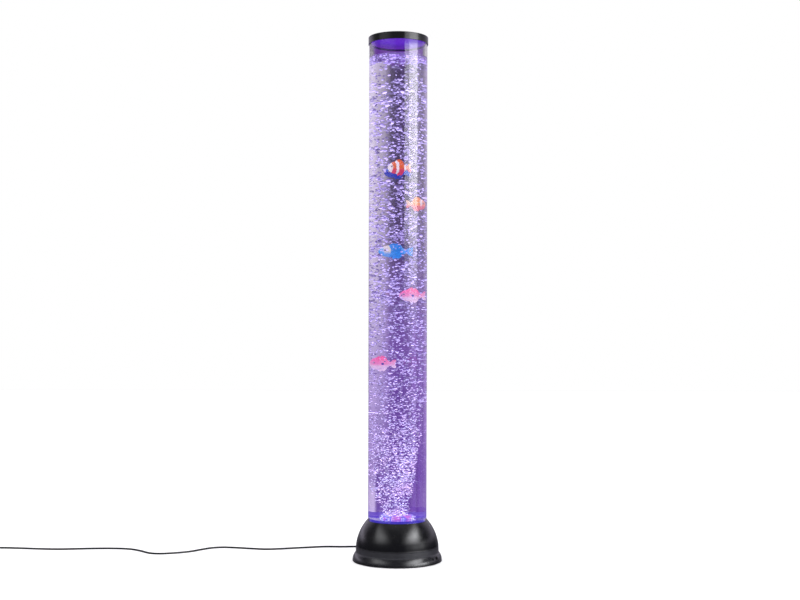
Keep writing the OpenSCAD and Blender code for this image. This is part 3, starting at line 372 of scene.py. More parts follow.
def floor_look(name):
    """The clear floor of the water: a painted blue glow over a darkened colour stands for the
    lamps' light below it in its rim and underside, and a painted pale line, a reflection seen only
    from behind, shows in the rim on the far side."""
    look = Look(name, (0.9, 0.88, 1.0), 0.02, ior=1.36)
    rim = look.ramp(look.away((0, 0, 0), (1, 1, 0)), 0.0, 1.0, BORE_R - 0.6 * MM, BORE_R - 0.3 * MM)
    under = look.ramp(look.height, 1.0, 0.0, DISC_TOP - 5.8 * MM, DISC_TOP - 5.5 * MM)
    lit = look.math("MAXIMUM", rim, under)
    # Painted reflection: a pale line in the rim, only where the surface is seen from behind
    off = look.math("ABSOLUTE", look.math("SUBTRACT", look.height, DISC_TOP - 1.7 * MM))
    line = look.times(rim, look.math("LESS_THAN", off, 0.45 * MM))
    line = look.times(line, look.add("ShaderNodeNewGeometry", out="Backfacing"))
    # Painted glow standing for the lamps' blue light; the colour is darkened where it is painted
    blue = look.mix(look.clouds(16 * MM), (0.035, 0.026, 0.45), (0.07, 0.045, 0.56))
    look.glow(look.mix(line, blue, (0.75, 0.62, 1.1)), look.times(lit, 0.85))
    look.set("Transmission Weight", look.ramp(lit, 1.0, 0.1))
    look.set("Base Color", look.mix(lit, (0.9, 0.88, 1.0), (0.02, 0.02, 0.12)))
    return look


def diffuser_look(name):
    """The plate the bubbles leave, with a painted glow from pink to pale blue for the lamps' light
    on it.
    """
    look = Look(name, (0.1, 0.1, 0.3), 0.2, ior=1.49)
    look.set("Transmission Weight", 0.3)
    patches = look.noise(16 * MM, 0, shift=(1, 4, 0))
    blue, pale = (look.ramp(patches, 0.0, 1.0, *ends) for ends in ((0.40, 0.52), (0.50, 0.62)))
    cold = look.mix(blue, (0.62, 0.16, 0.55), (0.10, 0.09, 0.62))
    # Painted glow: emission stands in for the lamps' light on the plate
    look.glow(look.mix(pale, cold, (0.34, 0.36, 0.95)), 0.8)
    return look


# Each CAD slot's material, and those of the nodes in OWN_LOOKS, as (kind, what it is made with)
LOOKS = {
    "clear_acrylic": (clear_part, (0.97, 0.97, 1.0)),
    "gloss_black": (base_black, (0.0045, 0.0045, 0.0058)),
    "cap_black": (cap_look,),
    "lit_floor": (floor_look,),
    "lit_diffuser": (diffuser_look,),
    "satin_black": (moulded, (0.016, 0.016, 0.018), 0.42, 0.5 * MM, 0.05 * MM),
    "black_button": (moulded, (0.008, 0.008, 0.009), 0.34, 0.5 * MM, 0.02 * MM),
    "black_rubber": (moulded, (0.022, 0.022, 0.023), 0.75, 0.8 * MM, 0.06 * MM),
    "white_nylon": (moulded, (0.78, 0.78, 0.74), 0.4),
    "screw_steel": (brushed, (0.58, 0.58, 0.6), 0.3),
    "blade_brass": (brushed, (0.76, 0.74, 0.68), 0.22),
    "white_board": (circuit, (0.8, 0.81, 0.84), (0.75, 0.7, 0.6)),
    "green_board": (circuit, (0.015, 0.12, 0.045), (0.8, 0.72, 0.5)),
    "board_components": (moulded, (0.03, 0.03, 0.034), 0.5),
    "red_lamp": (lamp_epoxy, (1.0, 0.03, 0.12), 9.0),
    "green_lamp": (lamp_epoxy, (0.05, 0.75, 0.9), 6.0),
    "blue_lamp": (lamp_epoxy, (0.05, 0.1, 1.0), 12.0),
    "pump_grey": (moulded, (0.13, 0.14, 0.15), 0.45),
    "copper_coil": (brushed, (0.62, 0.27, 0.1), 0.32, (1, 1, 12)),
    "arm_steel": (brushed, (0.5, 0.51, 0.53), 0.35),
    "magnet_grey": (moulded, (0.16, 0.16, 0.17), 0.55, 1.2 * MM, 0.03 * MM, 0.12, 0.6),
    "silicone_hose": (moulded, (0.74, 0.77, 0.78), 0.3),
    "jack_black": (moulded, (0.02, 0.02, 0.02), 0.45),
    "cord_black": (vinyl, (0.01, 0.01, 0.011)),
    "tie_black": (moulded, (0.014, 0.014, 0.014), 0.5, 0.6 * MM),
    "lead_red": (vinyl, (0.45, 0.02, 0.02)),
    "lead_yellow": (vinyl, (0.65, 0.42, 0.03)),
    "lead_blue": (vinyl, (0.03, 0.1, 0.45)),
    "lead_orange": (vinyl, (0.7, 0.2, 0.02)),
}
OWN_LOOKS = {"top_cap": "cap_black", "floor_disc": "lit_floor", "air_diffuser": "lit_diffuser"}


def make_looks():
    looks = {name: kind(name, *facts) for name, (kind, *facts) in LOOKS.items()}
    looks["silicone_hose"].set("Subsurface Weight", 0.3)
    looks["white_nylon"].set("Subsurface Weight", 0.15)
    return looks


def smooth_by_angle(degrees):
    """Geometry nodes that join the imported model's split points and smooth it up to an angle."""
    group = bpy.data.node_groups.new("smooth_by_angle", "GeometryNodeTree")
    for way in ("INPUT", "OUTPUT"):
        group.interface.new_socket("Geometry", in_out=way, socket_type="NodeSocketGeometry")
    nodes = Nodes(group)
    merged = nodes.add("GeometryNodeMergeByDistance", {
        0: nodes.add("NodeGroupInput"), "Distance": 0.001 * MM,
    })
    angle = nodes.add("GeometryNodeInputMeshEdgeAngle")
    small = nodes.add("FunctionNodeCompare", {0: angle, 1: math.radians(degrees)},
                      operation="LESS_THAN")
    faces = nodes.add("GeometryNodeSetShadeSmooth", {0: merged})
    edges = nodes.add("GeometryNodeSetShadeSmooth", {0: faces, "Shade Smooth": small},
                      domain="EDGE")
    nodes.add("NodeGroupOutput", {0: edges})
    return group


def dress_frame(looks):
    """Gives each CAD node smooth shading and the material of its slot, or its own look."""
    smooth = smooth_by_angle(32)
    for node_name, node in frame["nodes"].items():
        node.data.attributes.remove(node.data.attributes["custom_normal"])
        node.modifiers.new("smooth", "NODES").node_group = smooth
        for slot in node.material_slots:
            name = OWN_LOOKS.get(node_name, slot.material.name.split(".")[0])
            if name in looks:
                slot.link = "OBJECT"
                slot.material = looks[name].material


# ---------- Camera ----------

CAMERA_PLACE = (4.3 * MM, -2.354, 437.6 * MM)
CAMERA_UP = 1.226            # degrees above the horizon
CAMERA_ROLL = -0.13          # degrees
CAMERA_LENS = 56.25          # on a 36 mm sensor


def make_camera():
    data = bpy.data.cameras.new("camera")
    data.lens = CAMERA_LENS
    data.sensor_width = 36
    data.clip_start, data.clip_end = 0.05, 60
    camera = link(bpy.data.objects.new("camera", data))
    camera.location = CAMERA_PLACE
    camera.rotation_euler = (math.radians(90 + CAMERA_UP), math.radians(CAMERA_ROLL), 0)
    bpy.context.scene.camera = camera


# ---------- Cord ----------

CORD_D = 3.5 * MM
CORD_EXIT = (0, 120.4, 12.6)          # millimetres, as all of the cord's points
FLOOR_Z = 1.75
COIL_Z = 2.75
COIL_CENTRE = (-822, 85)
COIL_OUTER_R = 27
COIL_PITCH = 4
COIL_TURNS = 7.25
CORD_ROUTE = [
    CORD_EXIT, (0, 127.4, 12.2), (-4, 136, 10.4), (-12, 141, 7.8), (-24, 142, 4.8),
    (-38, 140, 2.8),
    *((x, y, FLOOR_Z) for x, y in (
        (-52, 138), (-70, 136), (-90, 135), (-112, 133), (-140, 134), (-170, 127), (-200, 118),
        (-235, 107), (-260, 104), (-290, 111), (-320, 120), (-345, 124), (-366, 116), (-383, 98),
        (-401, 77), (-425, 62), (-455, 53), (-476, 59), (-496, 80), (-520, 100), (-550, 108),
        (-590, 108), (-625, 103), (-660, 99), (-695, 101), (-730, 107), (-765, 112),
    )),
    (-795, 112, FLOOR_Z + 0.3), (-809, 112, COIL_Z - 0.2), (-822, 112, COIL_Z),
]
COIL_END = (-849, 85, 6.75)
TAIL_ROUTE = [COIL_END, (-849.4, 75, 6.35), (-849.8, 63, 6.15), (-850, 48, 6.7), (-850, 40, 7)]


def spline_point(a, b, c, d, u):
    """Catmull-Rom between b and c."""
    return 0.5 * (2 * b + (c - a) * u + (2 * a - 5 * b + 4 * c - d) * u ** 2
                  + (3 * b - a - 3 * c + d) * u ** 3)


def smooth_path(route, step):
    """Points about every step along a smooth path through the route."""
    p = [Vector(point) for point in route]
    path = []
    for i in range(len(p) - 1):
        n = max(1, round((p[i + 1] - p[i]).length / step))
        for j in range(n):
            before, after = p[max(i - 1, 0)], p[min(i + 2, len(p) - 1)]
            path.append(spline_point(before, p[i], p[i + 1], after, j / n))
    return path + [p[-1]]


def coil_point(t):
    """The coil after t turns: in along the floor, up in its middle, and out again on top."""
    inward = COIL_TURNS / 2 - abs(t - COIL_TURNS / 2)
    r = COIL_OUTER_R - COIL_PITCH * inward
    climb = min(max(t - COIL_TURNS / 2 + 0.25, 0) / 0.5, 1)
    angle = math.radians(90 + 360 * t)
    rise = COIL_PITCH * (3 * climb ** 2 - 2 * climb ** 3)
    return Vector((COIL_CENTRE[0] + r * math.cos(angle), COIL_CENTRE[1] + r * math.sin(angle),
                   COIL_Z + rise))


def make_cord(looks):
    per_turn = 56
    coil = [coil_point(i / per_turn) for i in range(1, round(COIL_TURNS * per_turn))]
    path = smooth_path(CORD_ROUTE, 3.5) + coil + smooth_path(TAIL_ROUTE, 3)
    curve = bpy.data.curves.new("flex", "CURVE")
    curve.dimensions = "3D"
    curve.bevel_depth = CORD_D / 2
    curve.bevel_resolution = 4
    curve.use_fill_caps = True
    spline = curve.splines.new("POLY")
    spline.points.add(len(path) - 1)
    for point, place in zip(spline.points, path):
        point.co = (*(place * MM), 1)
    cord = link(bpy.data.objects.new("flex", curve))
    curve.materials.append(looks["cord_black"].material)
    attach(cord, "lamp")
    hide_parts("cord_run", "cord_coil", "cord_tail")


# ---------- Pump ----------


def make_bellows(looks):
    """The pump's rubber bellows: a copy of the diaphragm in black rubber that stands in its place.
    """
    node = frame["nodes"]["pump_diaphragm"]
    bellows = link(bpy.data.objects.new("pump_bellows", node.data.copy()))
    bellows.data.materials.clear()
    bellows.data.materials.append(looks["black_rubber"].material)
    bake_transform(bellows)
    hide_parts("pump_diaphragm")


# ---------- Tube and water ----------


def make_tube():
    """The clear tube with fine chamfers at its ends."""
    c = 0.5 * MM
    tube = lathe("clear_tube", [
        (BORE_R + c, TUBE_LOW), (TUBE_R - c, TUBE_LOW), (TUBE_R, TUBE_LOW + c),
        (TUBE_R, TUBE_HIGH - c), (TUBE_R - c, TUBE_HIGH), (BORE_R + c, TUBE_HIGH),
        (BORE_R, TUBE_HIGH - c), (BORE_R, TUBE_LOW + c),
    ], 256)
    look = clear_part("tube_acrylic", (0.985, 0.98, 1.0), 0.016 * MM)
    tube.data.materials.append(look.material)
    tube.visible_shadow = False
    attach(tube, "lamp")
    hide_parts("water_tube")


def surface_height(x, y):
    """The water's top: ripples over the bubbles, and a rim that climbs the wall."""
    r = math.hypot(x, y)
    ripple = (math.sin(190 * x + 70 * y + 1) + math.sin(-120 * x + 210 * y + 2.2)
              + math.sin(310 * x - 160 * y + 0.4)) * 0.35 * MM
    climb = 2.2 * MM * math.exp((r - BORE_R) / (1.6 * MM))
    return WATER_LEVEL + ripple * (1 - (r / BORE_R) ** 6) + climb


PAINTED_GLOW_LOW = (0.032, 0.010, 0.092)     # painted violet glow standing for the light that the water carries, near the lamps
PAINTED_GLOW_HIGH = (0.015, 0.006, 0.036)    # and at the top


def water_look():
    look = Look("lit_water", (1, 1, 1), 0.0, ior=1.333)
    look.set("Transmission Weight", 1.0)
    rise = look.ramp(look.height, 0.0, 1.0, DISC_TOP, 0.62)
    cloudy = look.noise(60 * MM, 2, stretch=(1, 1, 0.35))
    # Painted glow: the water itself gives off violet light, more near the lamps
    look.glow(look.mix(rise, PAINTED_GLOW_LOW, PAINTED_GLOW_HIGH), look.ramp(cloudy, 0.75, 1.25, 0.3, 0.7))
    absorb = look.add("ShaderNodeVolumeAbsorption", {"Color": (0.46, 0.14, 0.88), "Density": 1.6})
    look.put(absorb, look.tree.nodes["Material Output"].inputs["Volume"])
    return look


def foot_look():
    """The water's lowest edge: on its far side, seen from behind, a painted reflection of the lit
    floor, a darker, less clear colour with a blue glow.
    """
    look = Look("water_foot", (1, 1, 1), 0.0, ior=1.333)
    far = look.add("ShaderNodeNewGeometry", out="Backfacing")
    # Painted reflection of the lit floor on the far side: darker colour, less clear, and a blue
    # glow
    look.set("Transmission Weight", look.ramp(far, 1.0, 0.15))
    look.set("Base Color", look.mix(far, (1.0, 1.0, 1.0), (0.03, 0.02, 0.12)))
    blue = look.mix(look.clouds(14 * MM), (0.13, 0.085, 0.48), (0.20, 0.14, 0.60))
    look.glow(blue, look.ramp(far, 0.05, 0.85))
    return look


FOOT_HIGH = 5.6 * MM         # of the water's lowest edge


def make_water():
    rings, sides = 26, 160
    r_out = BORE_R + OVERLAP
    base_z = DISC_TOP - OVERLAP
    turns = [(math.cos(2 * math.pi * k / sides), math.sin(2 * math.pi * k / sides))
             for k in range(sides)]
    points = [(0, 0, surface_height(0, 0))]
    for i in range(1, rings + 1):
        r = r_out * (1 - (1 - i / rings) ** 1.5)
        points += [(r * c, r * s, surface_height(r * c, r * s)) for c, s in turns]
    for z in (DISC_TOP + FOOT_HIGH, base_z):
        points += [(r_out * c, r_out * s, z) for c, s in turns]
    faces = [(0, 1 + k, 1 + (k + 1) % sides) for k in range(sides)]
    for i in range(rings + 1):
        low, high = 1 + i * sides, 1 + (i + 1) * sides
        for k in range(sides):
            n = (k + 1) % sides
            faces.append((low + k, high + k, high + n, low + n))
    bottom = 1 + (rings + 1) * sides
    faces.append(list(range(bottom, bottom + sides)))
    water = sharpen(mesh_object("water", points, faces), 50)
    water.data.materials.append(water_look().material)
    water.data.materials.append(foot_look().material)
    for face in water.data.polygons:
        if base_z < face.center.z < DISC_TOP + FOOT_HIGH and len(face.vertices) == 4:
            face.material_index = 1
    water.visible_shadow = False
    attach(water, "lamp")


# ---------- Bubbles ----------

BUBBLE_REACH = 50 * MM       # the water's own radius, less what a bubble takes
RANDOM_SEED = 7
RISING_BATCHES, RISING_EACH = 3, 2100
PLUME_COUNT, FROTH_TRIES = 1250, 620
LEFT_OUT = 0.93              # of the rising bubbles that would hide a fish from the photo's camera
VIEW_SPREAD = 6.8            # how the water turns that camera's view sideways, for a metre off axis
VIEW_DISTANCE = 3.14         # the metres at which it seems to stand, seen from within the water


def sphere_shape():
    """Points and triangles of a round ball of radius 1."""
    bm = bmesh.new()
    bmesh.ops.create_icosphere(bm, subdivisions=2, radius=1.0)
    points = np.array([v.co for v in bm.verts])
    faces = np.array([[v.index for v in f.verts] for f in bm.faces])
    bm.free()
    return points, faces


def fish_rooms():
    """(middle, direction, half length, half width, heights) of the room each fish takes up at rest
    and at both ends of its drift."""
    drift = {joint["child"]: joint["range_m"]
             for joint in frame["joints"] if joint["type"] == "slide"}
    rooms = []
    for name, _, turn, size in FISH:
        low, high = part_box(name)
        middle = (low + high) / 2
        down, up = drift[name + "_body"]
        way = Vector((math.cos(math.radians(turn)), math.sin(math.radians(turn))))
        rooms.append((middle, way, (FISH_L / 2 + 1.0 * MM) * size, (FISH_T / 2 + 1.2 * MM) * size,
                      (middle.z, middle.z + down, middle.z + up)))
    return rooms


def in_fish(x, y, z, radius, rooms):
    for middle, way, half_l, half_w, heights in rooms:
        off = Vector((x, y)) - middle.xy
        along, across = abs(off.dot(way)), abs(off.cross(way))
        if along < half_l + radius and across < half_w + radius:
            if any(abs(z - height) < FISH_H / 2 + 1.5 * MM + radius for height in heights):
                return True
    return False


def hides_fish(x, y, z, rooms):
    """Whether a bubble there stands before a fish, as the photo's camera sees them in the water."""
    for middle, _, half_l, *_ in rooms:
        nearer = middle.y - y
        seen_x = middle.x + nearer * VIEW_SPREAD * middle.x
        seen_z = middle.z - nearer * (middle.z - CAMERA_PLACE[2]) / VIEW_DISTANCE
        if nearer > 0 and abs(x - seen_x) < half_l and abs(z - seen_z) < FISH_H * 0.42:
            return True
    return False


def plume_reach(angle, z):
    """How far out bubbles go at this height: the plume opens sooner on the left than the right."""
    right = math.cos(angle)
    start = (19 - 2 * max(right, 0)) * MM
    full = DISC_TOP + (160 + 95 * right + 55 * max(right, 0)) * MM
    opening = min(1.0, max(0.0, (z - DIFFUSER_TOP) / (full - DIFFUSER_TOP)))
    return start + (BUBBLE_REACH - start) * opening ** 0.88


def rising_spots(rng, rooms):
    """(place, radius) of each rising bubble: small and close together low down, larger above."""
    spots = []
    low, high = DIFFUSER_TOP + 1 * MM, WATER_LEVEL - 4 * MM
    while len(spots) < RISING_BATCHES * RISING_EACH:
        share = rng.random()
        z = low + (high - low) * share ** 1.3
        rise = (z - low) / (high - low)
        radius = rng.uniform(0.95, 1.4) * MM + min(1.0, rise * 1.8) * rng.uniform(0.0, 0.75) * MM
        if rise > 0.45 and rng.random() < 0.06:
            radius *= 1.9
        angle = rng.uniform(0, 2 * math.pi)
        r = plume_reach(angle, z) * rng.random() ** 0.46 - radius
        if r < 0:
            continue
        x, y = r * math.cos(angle), r * math.sin(angle)
        if in_fish(x, y, z, radius, rooms):
            continue
        if not (hides_fish(x, y, z, rooms) and rng.random() < LEFT_OUT):
            spots.append(((x, y, z), radius))
    return spots


def plume_spots(rng, rooms):
    """The dense young bubbles over the diffuser, with a thin ring of them round its foot."""
    spots = []
    while len(spots) < PLUME_COUNT:
        angle, up = rng.uniform(0, 2 * math.pi), rng.random() ** 1.6
        z = DISC_TOP + 1.5 * MM + up * 170 * MM
        radius = rng.uniform(0.8, 1.3) * MM
        r = plume_reach(angle, z) * math.sqrt(rng.random()) * 0.95
        if z < DIFFUSER_TOP + 2 * MM:
            r = rng.uniform(23.8, 25.2) * MM
            if rng.random() < 0.6:
                continue
        x, y = r * math.cos(angle), r * math.sin(angle)
        if not in_fish(x, y, z, radius, rooms):
            spots.append(((x, y, z), radius))
    return spots


def froth_spots(rng, rooms):
    """The bubbles that gather under the water's top."""
    spots = []
    for _ in range(FROTH_TRIES):
        r, angle = 50.3 * MM * math.sqrt(rng.random()), rng.uniform(0, 2 * math.pi)
        x, y = r * math.cos(angle), r * math.sin(angle)
        z = surface_height(x, y) - rng.uniform(0.2, 3.5) * MM
        radius = rng.uniform(1.3, 2.4) * MM
        if not in_fish(x, y, z, radius * 1.3, rooms):
            spots.append(((x, y, z), radius))
    return spots


def squashed(points, radius, rng, tilt):
    """One bubble's points: flattened, cupped below, and leaning."""
    wide = radius * rng.uniform(0.9, 1.35)
    tall = radius * rng.uniform(0.6, 0.95)
    cup = rng.uniform(0.1, 0.55) * tall
    shape = points * (wide, wide * rng.uniform(0.75, 1.0), tall)
    shape[:, 2] -= cup * (points[:, 0] ** 2 + points[:, 1] ** 2)
    turn = Euler((rng.gauss(0, tilt), rng.gauss(0, tilt), rng.uniform(0, 2 * math.pi)))
    return shape @ np.array(turn.to_matrix()).T


def swarm(name, spots, look, rng, tilt=0.35):
    """One mesh of many bubbles."""
    ball, triangles = sphere_shape()
    points = np.concatenate([squashed(ball, radius, rng, tilt) + place for place, radius in spots])
    starts = np.repeat(np.arange(len(spots)) * len(ball), len(triangles))[:, None]
    faces = np.tile(triangles, (len(spots), 1)) + starts
    mesh = bpy.data.meshes.new(name)
    mesh.vertices.add(len(points))
    mesh.vertices.foreach_set("co", points.astype(np.float32).ravel())
    mesh.loops.add(faces.size)
    mesh.loops.foreach_set("vertex_index", faces.astype(np.int32).ravel())
    mesh.polygons.add(len(faces))
    mesh.polygons.foreach_set("loop_start", np.arange(0, faces.size, 3, dtype=np.int32))
    mesh.update(calc_edges=True)
    mesh.shade_smooth()
    mesh.materials.append(look.material)
    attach(link(bpy.data.objects.new(name, mesh)), "lamp")


def bubble_look(name, low, high, dark, strength):
    """A bubble's skin with painted light: a glow for the lamps' light on its underside, brighter
    low down, a dim painted top, and painted glints that differ from bubble to bubble.
    """
    look = Look(name, (0.55, 0.5, 0.75), 0.12)
    rise = look.ramp(look.height, 0.0, 1.0, DISC_TOP, 0.5)
    facing = look.axis(look.add("ShaderNodeNewGeometry", out="Normal"), 2)
    # Painted light: the glow is brightest where the skin faces down, dim on top
    under = look.ramp(facing, 1.0, 0.0, -0.35, 0.75)
    hue = look.ramp(look.noise(24 * MM, 1, shift=(0, 2, 5)), 0.0, 1.0, 0.36, 0.64)
    bluer = (low[0] * 0.78, low[1] * 1.05, low[2])
    lit = look.mix(rise, look.mix(hue, low, bluer), high)
    # Painted glints: each bubble's glow is made brighter or dimmer at random
    each = look.add("ShaderNodeNewGeometry", out="Random Per Island")
    painted_glint = look.math("ADD", look.times(look.math("POWER", each, 1.3), 1.9), 0.22)
    look.glow(look.mix(under, dark, lit), look.times(painted_glint, strength))
    look.set("Base Color", look.mix(rise, (0.16, 0.10, 0.24), (0.12, 0.10, 0.20)))
    return look


def make_bubbles():
    rng = random.Random(RANDOM_SEED)
    rooms = fish_rooms()
    # Painted light: each skin's glow near the lamps and at the top, its painted dim top, and how
    # strong the glow is
    skin = bubble_look("bubble_skin", (0.92, 0.70, 1.0), (0.54, 0.46, 0.88),
                       (0.045, 0.018, 0.18), 1.05)
    spots = rising_spots(rng, rooms)
    for i in range(RISING_BATCHES):
        batch = spots[i * RISING_EACH:(i + 1) * RISING_EACH]
        swarm(f"rising_bubbles_{i + 1}", batch, skin, rng)
    skin = bubble_look("plume_skin", (0.92, 0.76, 1.0), (0.92, 0.70, 1.0), (0.06, 0.03, 0.28), 1.3)
    swarm("plume_bubbles", plume_spots(rng, rooms), skin, rng)
    skin = bubble_look("froth_skin", (0.5, 0.4, 0.9), (0.46, 0.36, 0.88), (0.16, 0.07, 0.42), 0.85)
    swarm("surface_froth", froth_spots(rng, rooms), skin, rng, tilt=0.2)


# ---------- Fish ----------

FISH_L = 41 * MM
FISH_H = 32 * MM
FISH_T = 11 * MM
BODY_SHARE = 0.78            # of the length; the rest is tail

WHITE = (0.92, 0.86, 0.90)
ORANGE = (0.80, 0.14, 0.01)
CORAL = (0.78, 0.03, 0.13)   # a belly of this colour spares the white bands

# How a kind of fish is coloured: bands from nose to tail, belly, back, eye and (a spot's place and
# size as shares, its colour)
Coat = namedtuple("Coat", "bands belly back eye spot", defaults=(None, (0.02, 0.02, 0.03), None))

COATS = {
    "orange": Coat(
        [(0, WHITE), (0.20, WHITE), (0.23, ORANGE), (0.36, ORANGE), (0.39, WHITE), (0.47, WHITE),
         (0.50, ORANGE), (0.70, ORANGE), (0.73, WHITE), (0.78, WHITE), (0.81, (0.95, 0.42, 0.22)),
         (1.0, (0.96, 0.60, 0.45))],
        belly=CORAL, eye=(0.12, 0.01, 0.05)),
    "pale_orange": Coat(
        [(0, (0.95, 0.36, 0.26)), (0.22, (0.93, 0.34, 0.22)), (0.26, (0.95, 0.80, 0.80)),
         (0.33, (0.95, 0.80, 0.80)), (0.37, (0.93, 0.32, 0.08)), (0.66, (0.93, 0.36, 0.10)),
         (0.72, (0.96, 0.58, 0.42)), (1.0, (0.97, 0.66, 0.5))],
        belly=(0.92, 0.16, 0.24)),
    "blue": Coat(
        [(0, (0.08, 0.45, 0.95)), (0.12, (0.25, 0.62, 0.95)), (0.17, (0.84, 0.84, 0.72)),
         (0.32, (0.88, 0.86, 0.60)), (0.35, (0.0, 0.30, 0.72)), (0.66, (0.0, 0.27, 0.70)),
         (0.72, (0.15, 0.50, 0.90)), (0.80, (0.0, 0.32, 0.85)), (1.0, (0.0, 0.38, 0.90))],
        belly=(0.02, 0.40, 0.92), eye=(0.02, 0.05, 0.12)),
    "royal_blue": Coat(
        [(0, (0.01, 0.03, 0.42)), (0.34, (0.01, 0.03, 0.40)), (0.60, (0.01, 0.10, 0.55)),
         (0.80, (0.01, 0.14, 0.60)), (1.0, (0.01, 0.16, 0.62))],
        belly=(0.01, 0.06, 0.48), back=(0.02, 0.22, 0.70)),
    "pink": Coat(
        [(0, (0.97, 0.44, 0.68)), (0.2, (0.97, 0.26, 0.50)), (0.7, (0.97, 0.30, 0.52)),
         (0.82, (0.97, 0.40, 0.62)), (1.0, (0.98, 0.52, 0.70))],
        belly=(1.0, 0.84, 0.96), back=(1.0, 0.14, 0.34), eye=(0.85, 0.01, 0.34),
        spot=((0.50, 0.0, 0.052), (0.02, 0.05, 0.34))),
}

# Node, coat, turn about Z in degrees, and size beside a full-grown fish
FISH = [
    ("orange_fish", "orange", 0, 1.0),
    ("pale_orange_fish", "pale_orange", 205, 0.9),
    ("blue_fish", "blue", 0, 1.0),
    ("royal_blue_fish", "royal_blue", 0, 0.84),
    ("pink_fish_upper", "pink", 0, 0.98),
    ("pink_fish_lower", "pink", 0, 0.98),
]


def body_share(u):
    """Height and thickness of the body at u, from 0 at the nose to 1 at the tail's root."""
    return 2.46 * (u + 0.004) ** 0.62 * (1.06 - u) ** 0.72 * (1 - 0.12 * u)


def fish_x(u):
    """Where the share u of the whole length lies, with the nose towards -X."""
    return -FISH_L / 2 + FISH_L * u


def fish_body():
    """The lofted body, with a mouth, a gill cover's edge and a brow over each eye."""
    stations, sides = 44, 36
    points, faces = [], []
    for i in range(stations + 1):
        u = i / stations
        share = body_share(u)
        x = fish_x(0) + BODY_SHARE * FISH_L * u
        for k in range(sides):
            a = 2 * math.pi * k / sides
            side, up = math.sin(a), math.cos(a)
            gill = 0.045 * math.exp(-((u - 0.33 + 0.05 * up * up) / 0.022) ** 2) * abs(side)
            brow = 0.10 * math.exp(-((u - 0.17) / 0.05) ** 2 - ((up - 0.42) / 0.22) ** 2)
            mouth = 0.28 * math.exp(-((u - 0.0) / 0.035) ** 2 - ((up + 0.12) / 0.16) ** 2)
            swell = 1 + gill + brow * abs(side) - mouth
            y = FISH_T / 2 * share * side * (1 - 0.12 * up * up) * swell
            z = 0.36 * FISH_H * share * up * (1 + 0.04 * math.sin(math.pi * u) * up)
            points.append((x, y, z))
    for i in range(stations):
        for k in range(sides):
            n = (k + 1) % sides
            a, b = i * sides, (i + 1) * sides
            faces.append((a + k, a + n, b + n, b + k))
    faces.append(list(range(sides)))
    faces.append([stations * sides + k for k in reversed(range(sides))])
    return points, faces


def fin(outline_in, outline_out, thick, rays, place=lambda p: p):
    """A fin between its root line and its edge, with raised rays that fan out."""
    across, up = rays * 4, 8
    sheet = {}
    for i in range(across + 1):
        s = i / across
        root, edge = outline_in(s), outline_out(s)
        ray = 0.5 + 0.5 * math.cos(2 * math.pi * rays * s)
        for j in range(up + 1):
            t = j / up
            reach = t * (1 - 0.05 * (1 - ray) * t)
            x = root[0] + (edge[0] - root[0]) * reach
            z = root[1] + (edge[1] - root[1]) * reach
            half = thick * (1.0 - 0.72 * t) * (0.55 + 0.45 * ray)
            end = min(1.0, 6 * min(s, 1 - s) + 0.25)
            for way in (-1, 1):
                sheet[i, j, way] = (x, way * half * end, z)
    keys = list(sheet)
    index = {key: n for n, key in enumerate(keys)}
    points = [place(sheet[key]) for key in keys]
    faces = []

    def quad(flip, *corners):
        q = [index[key] for key in corners]
        faces.append(q if flip else q[::-1])

    for i in range(across):
        for j in range(up):
            for way in (-1, 1):
                quad(way < 0, (i, j, way), (i + 1, j, way), (i + 1, j + 1, way), (i, j + 1, way))
        for j, flip in ((0, False), (up, True)):
            quad(flip, (i, j, -1), (i, j, 1), (i + 1, j, 1), (i + 1, j, -1))
    for j in range(up):
        for i, flip in ((0, True), (across, False)):
            quad(flip, (i, j, -1), (i, j, 1), (i, j + 1, 1), (i, j + 1, -1))
    return points, faces


def line(*stops):
    """A smooth line through the stops, given as shares of the fish's length and height."""
    route = [Vector((x * FISH_L, z * FISH_H, 0)) for x, z in stops]

    def at(s):
        u = s * (len(route) - 1)
        i = min(int(u), len(route) - 2)
        before, after = route[max(i - 1, 0)], route[min(i + 2, len(route) - 1)]
        p = spline_point(before, route[i], route[i + 1], after, u - i)
        return p.x, p.y
    return at


def fish_fins():
    """Tail, back, belly and the two side fins."""
    thick = 0.7 * MM
    tail = fin(line((0.25, 0.05), (0.26, 0.0), (0.25, -0.05)),
               line((0.40, 0.25), (0.49, 0.23), (0.468, 0.0), (0.49, -0.23), (0.40, -0.25)),
               thick, 9)
    back = fin(line((-0.22, 0.24), (-0.04, 0.29), (0.14, 0.12)),
               line((-0.24, 0.28), (-0.14, 0.45), (-0.02, 0.497), (0.09, 0.44), (0.18, 0.28)),
               thick, 10)
    belly = fin(line((-0.13, -0.27), (0.0, -0.28), (0.14, -0.11)),
                line((-0.14, -0.30), (-0.08, -0.46), (-0.01, -0.40), (0.07, -0.44), (0.17, -0.28)),
                thick, 8)
    parts = [tail, back, belly]
    for way in (-1, 1):
        def aside(p, way=way):
            x, y, z = p
            out = max(0.0, x - fish_x(0.36)) * 0.18
            return (x, way * (FISH_T * 0.43 + out) + y * 0.7, z)
        parts.append(fin(line((-0.13, 0.01), (-0.13, -0.05)),
                         line((0.01, 0.04), (0.04, -0.04), (0.0, -0.12)), thick * 0.7, 5, aside))
    return parts


